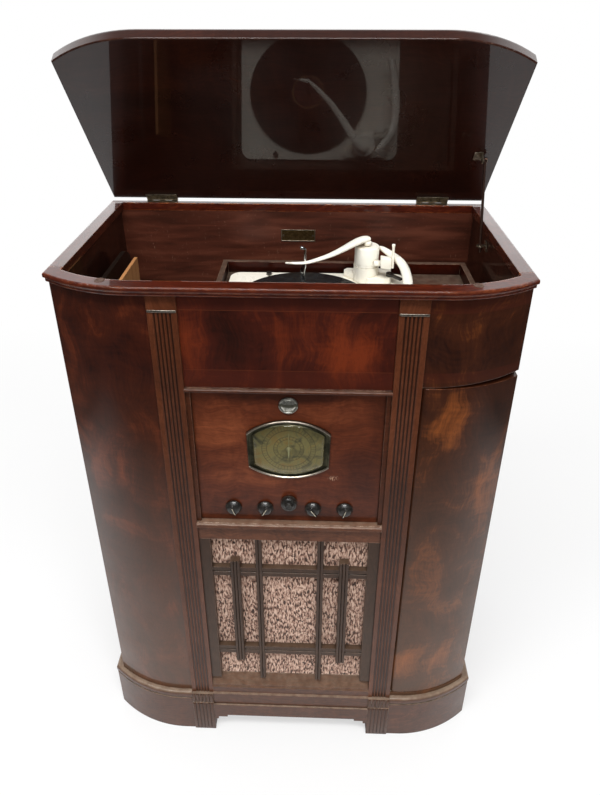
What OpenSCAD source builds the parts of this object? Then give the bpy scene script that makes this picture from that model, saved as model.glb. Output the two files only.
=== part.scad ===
// Console radio gramophone: a bow-fronted cabinet with a lifting lid over the record
// changer, a record cupboard behind the right-hand curved door, and a radio receiver
// with its loudspeaker behind the front. The front faces -Y and +Z is up.

/* [Cabinet] */
// Width over the side boards
body_w = 756; // [720:1:800]
// Depth from the pilaster faces to the back of the carcase
body_d = 394; // [370:1:440]
// Height of the carcase boards, to the underside of the rim
carcase_h = 1090; // [985:1:1180]
// Thickness of the carcase boards
board_t = 18; // [15:0.5:20]
// Thickness of the back panel
back_t = 9; // [5:0.5:12]
// Set-back of the panels behind the pilaster faces
panel_set = 4; // [2:0.5:6]
// Half-width of the flat part of the front
flat_half = 235; // [228:1:245]
// Radius of the curved panels at each end of the front
bow_r = 255; // [235:1:290]
// Depth of the curved panels' end faces behind the front corner
end_lap = 16; // [14:0.5:20]
// Clearance of the side boards above the floor
board_lift = 12; // [6:1:20]
// Top of the bottom board
floor_z = 135; // [131:0.5:140]

/* [Rim and lid] */
// Overhang of the rim beyond the side boards
rim_out = 3; // [1:0.5:12]
// Thickness of the rim
rim_t = 16; // [14:0.5:20]
// Overhang of the rim in front of the pilaster faces
rim_front = 12; // [6:0.5:16]
// Overhang of the rim behind the carcase
rim_rear = 4; // [2:0.5:8]
// Radius of the rim's curved ends
rim_r = 247; // [236:1:280]
// Width of the front rail of the rim
rim_rail = 25; // [24:1:36]
// Width of the side rails of the rim
rim_side = 25; // [20:1:30]
// Distance of the lid's edges inside the side boards' faces
lid_in = 1; // [0:0.5:6]
// Thickness of the lid
lid_t = 26; // [20:0.5:30]
// Radius of the moulded edge of the lid
lid_edge = 9; // [4:0.5:12]
// Distance of the lid's front edge behind the rim's front edge
lid_set = 14; // [8:1:20]
// Gap between the rim and the closed lid
lid_gap = 1.6; // [1.5:0.1:3]
// Angle to which the lid stands open
lid_open = 54; // [45:1:65]

/* [Hinges and stay] */
// Distance of the hinge pins behind the rim
hinge_back = 6; // [5:0.5:8]
// Height of the hinge pins above the rim
hinge_rise = 3; // [2.8:0.1:3.6]
// Length of each hinge
hinge_l = 63.5; // [50:0.5:76]
// Distance of each hinge's middle from the side of the cabinet
hinge_side = 101; // [70:1:140]
// Thickness of the hinge leaves
leaf_t = 1.3; // [1:0.1:1.5]
// Outer radius of the hinge barrels
barrel_r = 3.2; // [2.8:0.1:3.6]
// Radius of the hinge pins
hinge_pin_r = 1; // [0.8:0.05:1.3]
// Width of the hinge leaves
leaf_w = 16; // [13:0.5:17]
// Distance of the stay's pivot and guide from the hinge pins
stay_reach = 143.5; // [135:0.5:150]
// Distance of the stay's pivot below the lid
stay_drop = 10; // [9:0.5:12]
// Angle of the stay's guide below the hinge pins
guide_angle = 17; // [15:0.5:20]
// Diameter of the stay rod
stay_d = 5; // [4:0.1:6]
// Length of the stay rod beyond its guide with the lid open
stay_tail = 12; // [8:1:18]
// Distance of the stay from the side board
stay_side = 11; // [10.5:0.5:13]

/* [Pilasters and front] */
// Distance of the pilasters' inner edges from the middle
pil_in = 168; // [164:0.5:170]
// Width of the pilasters
pil_w = 46; // [42:0.5:48]
// Bottom of the pilasters, on top of the collars
pil_z = 122; // [118:0.5:126]
// Height of the plain block above the flutes
flute_drop = 32; // [28:1:70]
// Number of flutes
flute_n = 5; // [3:1:6]
// Spacing of the flutes
flute_pitch = 6.2; // [5.6:0.1:7]
// Radius of the flutes
flute_r = 2.4; // [1.8:0.1:2.6]
// Height of the upper front panel
panel_h = 169; // [160:0.5:175]
// Height of the moulding below the upper front panel
lip_h = 10; // [8:0.5:12]
// Projection of the lip and shelf mouldings from the panels
lip_out = 6; // [4:0.5:9]
// Width of the moulded edges beside the radio panel
fascia_edge = 8; // [6:0.5:10]
// Recess of the radio panel behind the front panels
fascia_set = 6; // [4:0.5:7]
// Thickness of the radio panel
fascia_t = 9; // [8:0.5:10]
// Height of the radio panel between its mouldings
fascia_h = 284.5; // [279:0.5:291]
// Height of the shelf moulding
shelf_h = 12.5; // [10:0.5:15]
// Height of the rail below the shelf moulding
rail_h = 33; // [24:0.5:44]

/* [Grille] */
// Bottom of the grille
grille_z = 170; // [166:0.5:176]
// Width of the grille's stiles, from the pilasters inward
stile_w = 20.5; // [16:0.5:24]
// Distance of the long bars from the middle
long_x = 58.5; // [54:0.5:62]
// Distance of the short bars from the middle
short_x = 103.6; // [98:0.2:106]
// Distance of the short bars' lower ends above the grille's bottom
short_rise = 62; // [52:1:70]
// Distance of the short bars' upper ends below the grille's top
short_drop = 55; // [45:1:69]
// Radius of the reeds of the bars
reed_r = 3; // [2.5:0.1:3.2]
// Distance of the upper crossbar's middle below the grille's top
cross_drop = 88; // [81:1:101]
// Distance of the lower crossbar's middle above the grille's bottom
cross_rise = 91; // [85:1:100]
// Thickness of the grille frame
fret_t = 12; // [10:0.5:13]
// Thickness of the grille cloth
cloth_t = 1.2; // [0.8:0.1:1.6]
// Thickness of the loudspeaker board
baffle_t = 12; // [9:0.5:15]
// Distance of the loudspeaker's middle below the grille's middle
speaker_drop = 0.5; // [-25:0.5:25]
// Radius of the loudspeaker's cone
cone_r = 88; // [70:1:100]

/* [Plinth] */
// Projection of the plinth beyond the side boards
plinth_out = 17; // [10:0.5:30]
// Height of the plinth
plinth_h = 125; // [118:0.5:130]
// Projection of the plinth in front of the pilaster faces
plinth_front = 6; // [4:0.5:7]
// Radius of the plinth's curved ends
plinth_r = 260; // [250:1:300]
// Height of the moulding along the top of the plinth
mould_h = 15; // [12:0.5:18]
// Height of the groove below the moulding
groove_h = 4; // [3:0.5:6]
// Depth of the groove
groove_d = 4; // [2:0.5:5]
// Height of the feet below the pilasters
foot_h = 94; // [88:1:100]
// Height of the arch between the feet
arch_z = 50; // [40:1:60]
// Top of the lower front rail's foot
apron_z = 87; // [80:1:92]

/* [Record well] */
// Depth of the well below the rim
well_depth = 175; // [165:1:190]
// Left side of the deck box
box_left = -146; // [-150:1:-140]
// Gap between the deck box and the right side board
box_side = 18; // [18:1:26]
// Inner back of the deck box
box_back = 325; // [320:1:330]
// Depth of the deck box's top edge below the rim
box_drop = 87; // [82:1:91]
// Thickness of the deck box's walls
box_t = 10; // [8:0.5:12]
// Depth of the motor board below the rim
deck_drop = 110; // [108:0.5:114]
// Distance of the tall rack divider from the left side board
rack_side = 23; // [18:1:28]
// Thickness of the tall rack divider
rack_t = 8; // [6:0.5:10]
// Depth of the rack dividers' top below the rim
rack_drop = 54; // [40:1:80]
// Distance of the plain rack upright from the left side board
upright_side = 56; // [52:1:64]
// Thickness of the plain rack upright
upright_t = 6; // [4:0.5:8]
// Rear end of the plain rack upright
upright_back = 265; // [240:1:290]

/* [Record changer] */
// Sideways position of the turntable spindle
spindle_x = 20; // [15:1:25]
// Position of the turntable spindle behind the pilaster faces
spindle_y = 168; // [166:0.5:170]
// Diameter of the spindle
spindle_d = 7.1; // [6.8:0.05:7.4]
// Height of the spindle above the changer plate
spindle_h = 116; // [100:1:117]
// Diameter of the record
disc_d = 254; // [240:1:254]
// Thickness of the record
disc_t = 2.2; // [1.6:0.1:3]
// Diameter of the turntable
platter_d = 230; // [200:1:240]
// Left edge of the changer plate
plate_left = -127; // [-130:1:-120]
// Right edge of the changer plate
plate_right = 218; // [214:1:224]
// Front edge of the changer plate
plate_front = 38; // [36:1:42]
// Back edge of the changer plate
plate_back = 312; // [310:1:318]
// Height of the changer plate above the motor board
plate_h = 6; // [4:0.5:8]
// Sideways position of the arm column
column_x = 140; // [136:1:144]
// Position of the arm column behind the pilaster faces
column_y = 286; // [284:1:287]
// Radius of the arm column
column_r = 23.5; // [22:0.5:25]
// Height of the arm base above the changer plate
base_h = 32; // [28:1:34]
// Height of the arm base's foot
arm_foot_h = 14; // [10:1:16]
// Height of the arm column
column_h = 40; // [36:1:41]
// Radius of the post that carries the steadying arm
post_r = 5; // [4:0.25:6]

/* [Radio] */
// Diameter of the control knobs
knob_d = 29; // [26:0.5:30]
// Length of the control knobs
knob_l = 15; // [12:0.5:18]
// Height of the outer control knobs above the shelf moulding
knob_rise = 31; // [23.5:0.5:35.5]
// Height of the tuning knob above the shelf moulding
tune_rise = 46.2; // [39.5:0.1:53.5]
// Distance of the outermost knobs from the middle
knob_out = 100; // [92:0.5:106]
// Distance of the inner knobs from the middle
knob_in = 43; // [38:0.5:47]
// Diameter of the control shafts
shaft_d = 6.3; // [6:0.05:6.5]
// Distance of the dial's middle below the top of the radio panel
dial_drop = 121; // [115:0.5:127]
// Height of the chassis above its shelf
chassis_h = 70; // [60:1:80]
// Front of the chassis behind the pilaster faces
chassis_y = 60; // [50:1:80]
// Depth of the chassis
chassis_d = 205; // [160:1:230]
// Distance of the chassis shelf below the top of the shelf moulding
chassis_drop = 14.5; // [10.5:1:22.5]

/* [Door] */
// Bottom edge of the record cupboard's door
door_z = 137.5; // [137.3:0.1:139]
// Distance of the door's top edge below the rim
door_drop = 165; // [164:0.5:190]
// Gap along the door's edges
door_gap = 1.2; // [0.8:0.1:2]
// Rise of the fixed panel's lower edge from the pilaster to the corner
panel_rise = 9; // [0:0.5:12]
// Diameter of the door's pivot pins
door_pin_d = 6; // [5:0.1:7]
// Length of the door's pivot pins
door_pin_l = 7; // [5:0.5:9]
// Thickness of the pivot plates
pivot_t = 2; // [1.5:0.1:2.5]

/* [Clearances] */
// Radial clearance of the running fits
fit = 0.05; // [0.03:0.01:0.1]
// Gap between pieces that move past each other
run_gap = 0.5; // [0.4:0.05:0.8]

/* [Hidden] */
$fn = 96;
half_w = body_w / 2;
inner_half = half_w - board_t;
body_back = body_d;
well_back = body_back - back_t;
hinge_x = half_w - hinge_side;
stay_x = inner_half - stay_side;
flute_top = carcase_h - flute_drop;
panel_z = carcase_h - panel_h;
well_z = carcase_h - well_depth;
box_right = inner_half - box_side;
box_top = carcase_h - box_drop;
deck_z = carcase_h - deck_drop;
rack_x = inner_half - rack_side;
rack_top = carcase_h - rack_drop;
upright_x = inner_half - upright_side;
door_top = carcase_h - door_drop;
lid_half = half_w - lid_in;
plinth_half = half_w + plinth_out;
bow_y = panel_set + bow_r;
corner_y = bow_y - sqrt(pow(bow_r, 2) - pow(half_w - flat_half, 2));
panel_end = corner_y + end_lap;
inner_front = panel_set + board_t;
pil_out = pil_in + pil_w;
rim_top = carcase_h + rim_t;
rim_half = half_w + rim_out;
rim_back = body_back + rim_rear;
rim_in_half = rim_half - rim_side;
rim_in_r = rim_r - rim_rail;
rim_corner_y = rim_r - rim_front - sqrt(pow(rim_r, 2) - pow(rim_half - flat_half, 2));
rim_split = rim_corner_y + rim_rail;
hinge_y = rim_back + hinge_back;
hinge_z = rim_top + hinge_rise;
lid_z = rim_top + lid_gap;
lid_rear = 5;
lid_front_y = lid_set - rim_front;
lid_rear_y = hinge_y - lid_rear;
leaf_gap = lid_gap - leaf_t;
cut = 0.5;
base_z = deck_z + plate_h;
disc_z = base_z + 7;
column_z = base_z + base_h;
fascia_y = panel_set + fascia_set;
fascia_back = fascia_y + fascia_t;
fret_y = panel_set;
cloth_y = fret_y + fret_t;
baffle_y = cloth_y + cloth_t;
window_half = pil_in - fascia_edge;
shelf_z = panel_z - lip_h - fascia_h;
rail_z = shelf_z - shelf_h - rail_h;
dial_z = panel_z - lip_h - dial_drop;
knob_z = shelf_z + knob_rise;
tune_z = shelf_z + tune_rise;
short_z = grille_z + short_rise;
short_top = rail_z - short_drop;
cross_low = grille_z + cross_rise;
cross_top = rail_z - cross_drop;
speaker_z = (grille_z + rail_z) / 2 - speaker_drop;
shelf_top = shelf_z - chassis_drop;
chassis_top = shelf_top + chassis_h;
door_axis_x = pil_out + run_gap + board_t / 2;
door_axis_y = panel_set + board_t / 2;
stay_tilt = asin((hinge_z - lid_z + stay_drop) / stay_reach);
stay_a_y = hinge_y - stay_reach * cos(lid_open - stay_tilt);
stay_a_z = hinge_z + stay_reach * sin(lid_open - stay_tilt);
stay_g_y = hinge_y - stay_reach * cos(guide_angle);
stay_g_z = hinge_z - stay_reach * sin(guide_angle);
stay_open_l = 2 * stay_reach * sin((lid_open - stay_tilt + guide_angle) / 2);
stay_lean = (lid_open - stay_tilt - guide_angle) / 2;
rear_y = hinge_y - lid_rear * cos(lid_open)
    + (lid_z + lid_t - hinge_z) * sin(lid_open);
centre_y = (rear_y - rim_front) / 2;

// ---- Shared shapes -------------------------------------------------------------

// Plan of a bow-fronted slab: flat in the middle, curved at both ends.
module bow_plan(half, front, back, radius) {
    translate([-flat_half, front])
        square([2 * flat_half, back - front]);
    for (s = [0, 1])
        mirror([s, 0])
            intersection() {
                translate([flat_half, front + radius])
                    circle(r = radius);
                translate([flat_half, front])
                    square([half - flat_half, back - front]);
            }
}

// Section of a moulded edge, its outer face at x = 0.
module edge(h, top = 0, low = 0, depth = 900) {
    difference() {
        translate([-depth, 0])
            square([depth, h]);
        if (top > 0)
            translate([-top, h - top])
                difference() {
                    square(top + 1);
                    circle(r = top);
                }
        if (low > 0)
            translate([-low, low])
                mirror([0, 1])
                    difference() {
                        square(low + 1);
                        circle(r = low);
                    }
    }
}

// Bow-fronted slab whose front and sides follow the edge section given as its child.
module bow_slab(half, front, back, radius) {
    intersection() {
        union() {
            translate([flat_half, front, 0])
                rotate([90, 0, -90])
                    linear_extrude(2 * flat_half)
                        intersection() {
                            children();
                            translate([front - back, -1])
                                square([back - front, 400]);
                        }
            for (s = [0, 1])
                mirror([s, 0, 0])
                    intersection() {
                        translate([flat_half, front + radius, 0])
                            rotate_extrude()
                                intersection() {
                                    translate([radius, 0])
                                        children();
                                    translate([0, -1])
                                        square([radius, 400]);
                                }
                        translate([flat_half, front, -1])
                            cube([half - flat_half, back - front, 400]);
                    }
        }
        translate([half, back, 0])
            rotate([90, 0, 0])
                linear_extrude(back - front)
                    children();
        mirror([1, 0, 0])
            translate([half, back, 0])
                rotate([90, 0, 0])
                    linear_extrude(back - front)
                        children();
    }
}

// Curved shell between the outer and inner faces of the bowed panels.
module bow_shell(from_x, back) {
    intersection() {
        difference() {
            bow_plan(half_w, panel_set, back, bow_r);
            bow_plan(half_w + 1, inner_front, back + 1, bow_r - board_t);
        }
        translate([from_x, 0])
            square([half_w - from_x, back]);
    }
}

// Upright box from one corner to the opposite one.
module block(x0, y0, z0, x1, y1, z1) {
    translate([x0, y0, z0])
        cube([x1 - x0, y1 - y0, z1 - z0]);
}

// Turns the lid and what it carries from closed to open.
module lifted() {
    translate([0, hinge_y, hinge_z])
        rotate([-lid_open, 0, 0])
            translate([0, -hinge_y, -hinge_z])
                children();
}

// Cylinder that points toward +Y.
module rod_y(x, y, z, d, l) {
    translate([x, y, z])
        rotate([-90, 0, 0])
            cylinder(d = d, h = l);
}

// ---- Carcase -------------------------------------------------------------------

module side_board() {
    color("saddlebrown")
        block(inner_half, panel_end, board_lift, half_w, body_back, carcase_h);
}

module side_left() {
    mirror([1, 0, 0])
        side_board();
}

module side_right() {
    side_board();
}

module curved_panel_left() {
    color("sienna")
        mirror([1, 0, 0])
            translate([0, 0, board_lift])
                linear_extrude(carcase_h - board_lift)
                    bow_shell(pil_out, panel_end);
}

module curved_panel_right() {
    edge_z = door_top + run_gap + pivot_t;
    color("sienna") {
        intersection() {
            linear_extrude(carcase_h)
                bow_shell(pil_out, panel_end);
            translate([0, panel_end, 0])
                rotate([90, 0, 0])
                    linear_extrude(panel_end)
                        polygon([
                            [pil_out, edge_z], [door_axis_x + 11, edge_z],
                            [half_w, edge_z + panel_rise], [half_w, carcase_h],
                            [pil_out, carcase_h]
                        ]);
            difference() {
                block(pil_out, 0, 0, half_w, panel_end, carcase_h);
                translate([door_axis_x, door_axis_y, edge_z - cut])
                    cylinder(d = door_pin_d + 2, h = door_pin_l + cut);
            }
        }
        difference() {
            translate([0, 0, board_lift])
                linear_extrude(door_z - run_gap - pivot_t - board_lift)
                    bow_shell(pil_out, panel_end);
            translate([door_axis_x, door_axis_y, door_z - door_pin_l - 1])
                cylinder(d = door_pin_d + 2, h = door_pin_l + 1);
        }
    }
}

module back_panel() {
    color("burlywood")
        difference() {
            block(-inner_half, well_back, board_lift, inner_half, body_back, carcase_h);
            for (x = [-150, 0, 150])
                for (z = [220, 260, 300, 340, chassis_top + 18, chassis_top + 58,
                        chassis_top + 98])
                    translate([x - 50, well_back - 1, z])
                        cube([100, back_t + 2, 12]);
            rod_y(0, well_back - 1, shelf_top + 28, 14, back_t + 2);
        }
}

module bottom_board() {
    color("burlywood")
        translate([0, 0, floor_z - board_t])
            linear_extrude(board_t)
                bow_plan(inner_half, inner_front, well_back, bow_r - board_t);
}

module partition() {
    color("burlywood")
        block(pil_out - board_t, inner_front, floor_z, pil_out, well_back,
            well_z - board_t);
}

module partition_left() {
    mirror([1, 0, 0])
        partition();
}

module partition_right() {
    partition();
}

module well_floor() {
    color("saddlebrown")
        translate([0, 0, well_z - board_t])
            linear_extrude(board_t)
                bow_plan(inner_half, inner_front, well_back, bow_r - board_t);
}

module chassis_shelf() {
    half = pil_out - board_t;
    color("burlywood")
        block(-half, inner_front, shelf_top - 14, half, chassis_y + chassis_d + 20,
            shelf_top);
}

// ---- Front ---------------------------------------------------------------------

module pilaster() {
    color("saddlebrown")
        difference() {
            block(pil_in, 0, pil_z, pil_out, inner_front, carcase_h);
            for (i = [0 : flute_n - 1])
                translate([
                    pil_in + pil_w / 2 + (i - (flute_n - 1) / 2) * flute_pitch,
                    -flute_r / 4, pil_z - 1
                ])
                    cylinder(r = flute_r, h = flute_top - pil_z + 1);
        }
}

module pilaster_left() {
    mirror([1, 0, 0])
        pilaster();
}

module pilaster_right() {
    pilaster();
}

module upper_front_panel() {
    color("sienna")
        block(-pil_in, panel_set, panel_z, pil_in, inner_front, carcase_h);
}

module fascia_moulding() {
    top = panel_z;
    color("saddlebrown") {
        translate([-pil_in, 0, 0])
            rotate([90, 0, 90])
                linear_extrude(2 * pil_in)
                    union() {
                        translate([panel_set, top - lip_h])
                            square([board_t, lip_h]);
                        translate([panel_set - lip_out + 3, top - lip_h + 2])
                            square([lip_out - 2, lip_h - 4]);
                        translate([panel_set - lip_out + 3, top - lip_h / 2])
                            circle(r = lip_h / 2 - 2);
                    }
        for (s = [0, 1])
            mirror([s, 0, 0])
                block(window_half, panel_set, shelf_z, pil_in, inner_front,
                    top - lip_h + cut);
    }
}

// Dial opening: arcs above and below, sides that draw in toward the bottom.
module dial_outline(grow) {
    top_half = 71 + grow;
    low_half = 67 + grow;
    intersection() {
        translate([0, dial_z - 44.9])
            circle(r = 108.4 + grow);
        translate([0, dial_z + 53])
            circle(r = 113 + grow);
        polygon([
            [-low_half - 1, dial_z - 70], [low_half + 1, dial_z - 70],
            [top_half + 1, dial_z + 70], [-top_half - 1, dial_z + 70]
        ]);
    }
}

module upright_plate(y, t) {
    translate([0, y + t, 0])
        rotate([90, 0, 0])
            linear_extrude(t)
                children();
}

module radio_fascia() {
    color("sienna")
        difference() {
            block(-window_half, fascia_y, shelf_z, window_half, fascia_back,
                panel_z - lip_h);
            upright_plate(fascia_y - 1, fascia_t + 2)
                dial_outline(-6);
            for (x = [-knob_out, -knob_in, knob_in, knob_out])
                rod_y(x, fascia_y - 1, knob_z, shaft_d + 4, fascia_t + 2);
            rod_y(0, fascia_y - 1, tune_z, shaft_d + 4, fascia_t + 2);
        }
}

module shelf_rail() {
    color("saddlebrown") {
        block(-pil_in, panel_set, rail_z, pil_in, inner_front, shelf_z);
        translate([-pil_in, panel_set, shelf_z - shelf_h / 2])
            rotate([90, 0, 90])
                linear_extrude(2 * pil_in)
                    intersection() {
                        union() {
                            translate([-lip_out + 2, -shelf_h / 2])
                                square([lip_out + 4, shelf_h]);
                            translate([-lip_out + 2, 0])
                                circle(r = shelf_h / 2 - 1);
                        }
                        translate([-lip_out - 2, -shelf_h / 2])
                            square([lip_out + 2, shelf_h]);
                    }
    }
}

// Upright bar of round reeds side by side, on a flat back.
module reeded_bar(x, z0, z1, reeds, front) {
    w = 2 * reed_r * reeds;
    block(x - w / 2, front + reed_r, z0, x + w / 2, fret_y + fret_t - 2, z1);
    for (i = [0 : reeds - 1])
        translate([x - w / 2 + (2 * i + 1) * reed_r, front + reed_r, z0])
            cylinder(r = reed_r, h = z1 - z0);
}

module grille_fret() {
    back = fret_y + fret_t;
    color("saddlebrown") {
        for (s = [0, 1])
            mirror([s, 0, 0]) {
                block(pil_in - stile_w, fret_y, grille_z, pil_in, back, rail_z);
                reeded_bar(long_x, grille_z, rail_z, 2, fret_y);
                reeded_bar(short_x, short_z, short_top, 3, fret_y - 3);
            }
        for (z = [cross_top, cross_low])
            difference() {
                block(-pil_in + stile_w, fret_y + 2, z - 11, pil_in - stile_w, back,
                    z + 11);
                translate([-pil_in, fret_y + 2, z])
                    rotate([0, 90, 0])
                        cylinder(r = 2, h = 2 * pil_in);
            }
    }
}

module grille_cloth() {
    color("rosybrown")
        block(-pil_in, cloth_y, grille_z, pil_in, baffle_y, rail_z);
}

module baffle_board() {
    color("burlywood")
        difference() {
            block(-pil_in, baffle_y, grille_z, pil_in, baffle_y + baffle_t, rail_z);
            rod_y(0, baffle_y - 1, speaker_z, 2 * cone_r, baffle_t + 2);
        }
}

module loudspeaker() {
    back = baffle_y + baffle_t;
    color("dimgray")
        translate([0, back, speaker_z])
            rotate([-90, 0, 0])
                rotate_extrude()
                    polygon([
                        [cone_r - 3, 0], [cone_r + 12, 0], [cone_r + 12, 4], [cone_r + 1, 4],
                        [34, 50], [52, 50], [52, 108], [0, 108], [0, 44], [28, 44]
                    ]);
}

module lower_rail() {
    back = baffle_y;
    color("saddlebrown")
        translate([-pil_in, 0, 0])
            rotate([90, 0, 90])
                linear_extrude(2 * pil_in)
                    polygon([
                        [inner_front, apron_z], [-3, apron_z], [-3, apron_z + 34],
                        [0, apron_z + 37], [0, apron_z + 54], [2, apron_z + 58],
                        [2, grille_z - 23], [back - 1, grille_z], [inner_front, grille_z]
                    ]);
}

// ---- Plinth --------------------------------------------------------------------

module plinth_side() {
    front = -plinth_front;
    base = plinth_h - mould_h - groove_h;
    color("saddlebrown")
        difference() {
            intersection() {
                union() {
                    bow_slab(plinth_half - 1, front + 1, body_back, plinth_r - 1)
                        edge(base);
                    translate([0, 0, base - 1])
                        bow_slab(plinth_half - groove_d, front + groove_d, body_back,
                            plinth_r - groove_d)
                            edge(groove_h + 2);
                    translate([0, 0, base + groove_h])
                        bow_slab(plinth_half, front, body_back, plinth_r)
                            edge(mould_h, 5, 3);
                }
                block(pil_out, front - 1, -1, plinth_half + 1, body_back + 1, plinth_h + 1);
            }
            translate([0, 0, -1])
                linear_extrude(plinth_h + 2)
                    bow_plan(half_w, panel_set, body_back + 1, bow_r);
        }
}

module plinth_left() {
    mirror([1, 0, 0])
        plinth_side();
}

module plinth_right() {
    plinth_side();
}

module plinth_apron() {
    front = -plinth_front - 1;
    color("saddlebrown") {
        for (s = [0, 1])
            mirror([s, 0, 0]) {
                block(pil_in, front, 0, pil_out, inner_front, foot_h);
                difference() {
                    block(pil_in, front + 2, foot_h, pil_out, inner_front, pil_z);
                    for (z = [foot_h + 4 : 5 : pil_z - 3])
                        translate([pil_in - 1, front + 2, z])
                            rotate([0, 90, 0])
                                cylinder(r = 1.4, h = pil_w + 2);
                }
                block(pil_in - 28, front + 1, arch_z - 6, pil_in, 12, apron_z);
                block(pil_in - 8, front + 1, arch_z - 14, pil_in, 12, arch_z - 6);
            }
        block(-pil_in + 28, front + 1, arch_z, pil_in - 28, 12, apron_z);
    }
}

// ---- Rim and lid ---------------------------------------------------------------

// The rim before its opening is cut: a rounded nosing over a smaller bead.
module rim_slab() {
    translate([0, 0, carcase_h])
        bow_slab(rim_half - 3, -rim_front + 3, rim_back, rim_r - 3)
            edge(rim_t / 2, 0, 2.5);
    translate([0, 0, carcase_h + rim_t / 2 - 1])
        bow_slab(rim_half, -rim_front, rim_back, rim_r)
            edge(rim_t / 2 + 1, 3, 3);
}

module rim_front_rail() {
    color("maroon")
        difference() {
            intersection() {
                rim_slab();
                block(-2 * rim_half, -2 * rim_half, 0, 2 * rim_half, rim_split, 2 * rim_top);
            }
            translate([0, 0, carcase_h - 1])
                linear_extrude(rim_t + 2)
                    bow_plan(rim_in_half, rim_rail - rim_front, well_back, rim_in_r);
        }
}

module rim_rail_side() {
    color("maroon")
        intersection() {
            rim_slab();
            block(rim_in_half, rim_split, 0, 2 * rim_half, well_back, 2 * rim_top);
        }
}

module rim_left() {
    mirror([1, 0, 0])
        rim_rail_side();
}

module rim_right() {
    rim_rail_side();
}

module rim_back_rail() {
    color("maroon")
        difference() {
            intersection() {
                rim_slab();
                block(-2 * rim_half, well_back, 0, 2 * rim_half, 2 * rim_half, 2 * rim_top);
            }
            for (s = [-1, 1])
                block(s * hinge_x - hinge_l / 2, hinge_y - leaf_w, rim_top - leaf_t,
                    s * hinge_x + hinge_l / 2, hinge_y, rim_top + 1);
        }
}

module lid() {
    color("maroon")
        lifted()
            translate([0, 0, lid_z])
                bow_slab(lid_half, lid_front_y, lid_rear_y, rim_r)
                    edge(lid_t, lid_edge, 2);
}

// ---- Hinges and stay -----------------------------------------------------------

// Barrels of one hinge, every second one from the first given.
module barrels(x, first) {
    step = hinge_l / 5;
    for (i = [first : 2 : 4])
        translate([x - hinge_l / 2 + i * step + 0.15, hinge_y, hinge_z])
            rotate([0, 90, 0])
                cylinder(r = barrel_r, h = step - 0.3);
}

// Leaf of one hinge with notches for the other leaf's barrels.
module leaf(x, z, first) {
    step = hinge_l / 5;
    difference() {
        block(x - hinge_l / 2, hinge_y - leaf_w, z, x + hinge_l / 2, hinge_y, z + leaf_t);
        for (i = [1 - first : 2 : 4])
            translate([x - hinge_l / 2 + i * step - 0.15, hinge_y, hinge_z])
                rotate([0, 90, 0])
                    cylinder(r = barrel_r + run_gap, h = step + 0.3);
    }
}

module hinge_leaves_case() {
    color("goldenrod")
        for (s = [-1, 1]) {
            leaf(s * hinge_x, rim_top - leaf_t, 0);
            barrels(s * hinge_x, 0);
            translate([s * hinge_x - hinge_l / 2, hinge_y, hinge_z])
                rotate([0, 90, 0])
                    cylinder(r = hinge_pin_r, h = hinge_l);
        }
}

module hinge_leaves_lid() {
    color("goldenrod")
        lifted()
            for (s = [-1, 1])
                difference() {
                    union() {
                        leaf(s * hinge_x, lid_z - leaf_t, 1);
                        barrels(s * hinge_x, 1);
                    }
                    translate([s * hinge_x - hinge_l, hinge_y, hinge_z])
                        rotate([0, 90, 0])
                            cylinder(r = hinge_pin_r + fit, h = 2 * hinge_l);
                }
}

module stay_bracket() {
    pivot_y = hinge_y - stay_reach * cos(stay_tilt);
    pivot_z = lid_z - stay_drop;
    color("goldenrod")
        lifted() {
            block(stay_x - 20, pivot_y - 10, lid_z - 2, stay_x - 3.5, pivot_y + 10, lid_z);
            block(stay_x - 6.5, pivot_y - 5, pivot_z - 5, stay_x - 3.5, pivot_y + 5,
                lid_z);
            translate([stay_x - 5, pivot_y, pivot_z])
                rotate([0, 90, 0])
                    cylinder(d = 4, h = 5 + stay_d / 2 + 0.4);
            translate([stay_x + stay_d / 2 + 0.4, pivot_y, pivot_z])
                rotate([0, 90, 0])
                    cylinder(d = 6, h = 1);
        }
}

module stay_rod() {
    color("goldenrod")
        translate([stay_x, stay_a_y, stay_a_z])
            difference() {
                rotate([-stay_lean, 0, 0])
                    union() {
                        translate([-stay_d / 2, 0, 0])
                            rotate([0, 90, 0])
                                cylinder(d = 10, h = stay_d);
                        translate([0, 0, -stay_open_l - stay_tail])
                            cylinder(d = stay_d, h = stay_open_l + stay_tail - 4);
                    }
                translate([-stay_d, 0, 0])
                    rotate([0, 90, 0])
                        cylinder(d = 4 + 2 * fit, h = 2 * stay_d);
            }
}

module stay_guide() {
    mean = lid_open / 4 - stay_lean;
    eye = stay_d / 2 + 1.7;
    color("goldenrod")
        translate([stay_x, stay_g_y, stay_g_z]) {
            rotate([mean, 0, 0])
                difference() {
                    union() {
                        translate([0, 0, -1.5])
                            cylinder(r = eye + 2.6, h = 3);
                        translate([0, -4, -1.5])
                            cube([inner_half - stay_x - 1, 8, 3]);
                    }
                    translate([0, 0, -3])
                        cylinder(r = eye, h = 6);
                }
            translate([inner_half - stay_x - 2, -9, -9])
                cube([2, 18, 18]);
        }
}

// ---- Door ----------------------------------------------------------------------

module record_door() {
    color("sienna") {
        translate([0, 0, door_z])
            linear_extrude(door_top - door_z)
                union() {
                    translate([door_axis_x, door_axis_y])
                        circle(d = board_t);
                    bow_shell(door_axis_x, panel_end - door_gap);
                }
        translate([door_axis_x, door_axis_y, door_z - door_pin_l])
            cylinder(d = door_pin_d, h = door_pin_l);
        translate([door_axis_x, door_axis_y, door_top])
            cylinder(d = door_pin_d, h = door_pin_l);
    }
}

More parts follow.
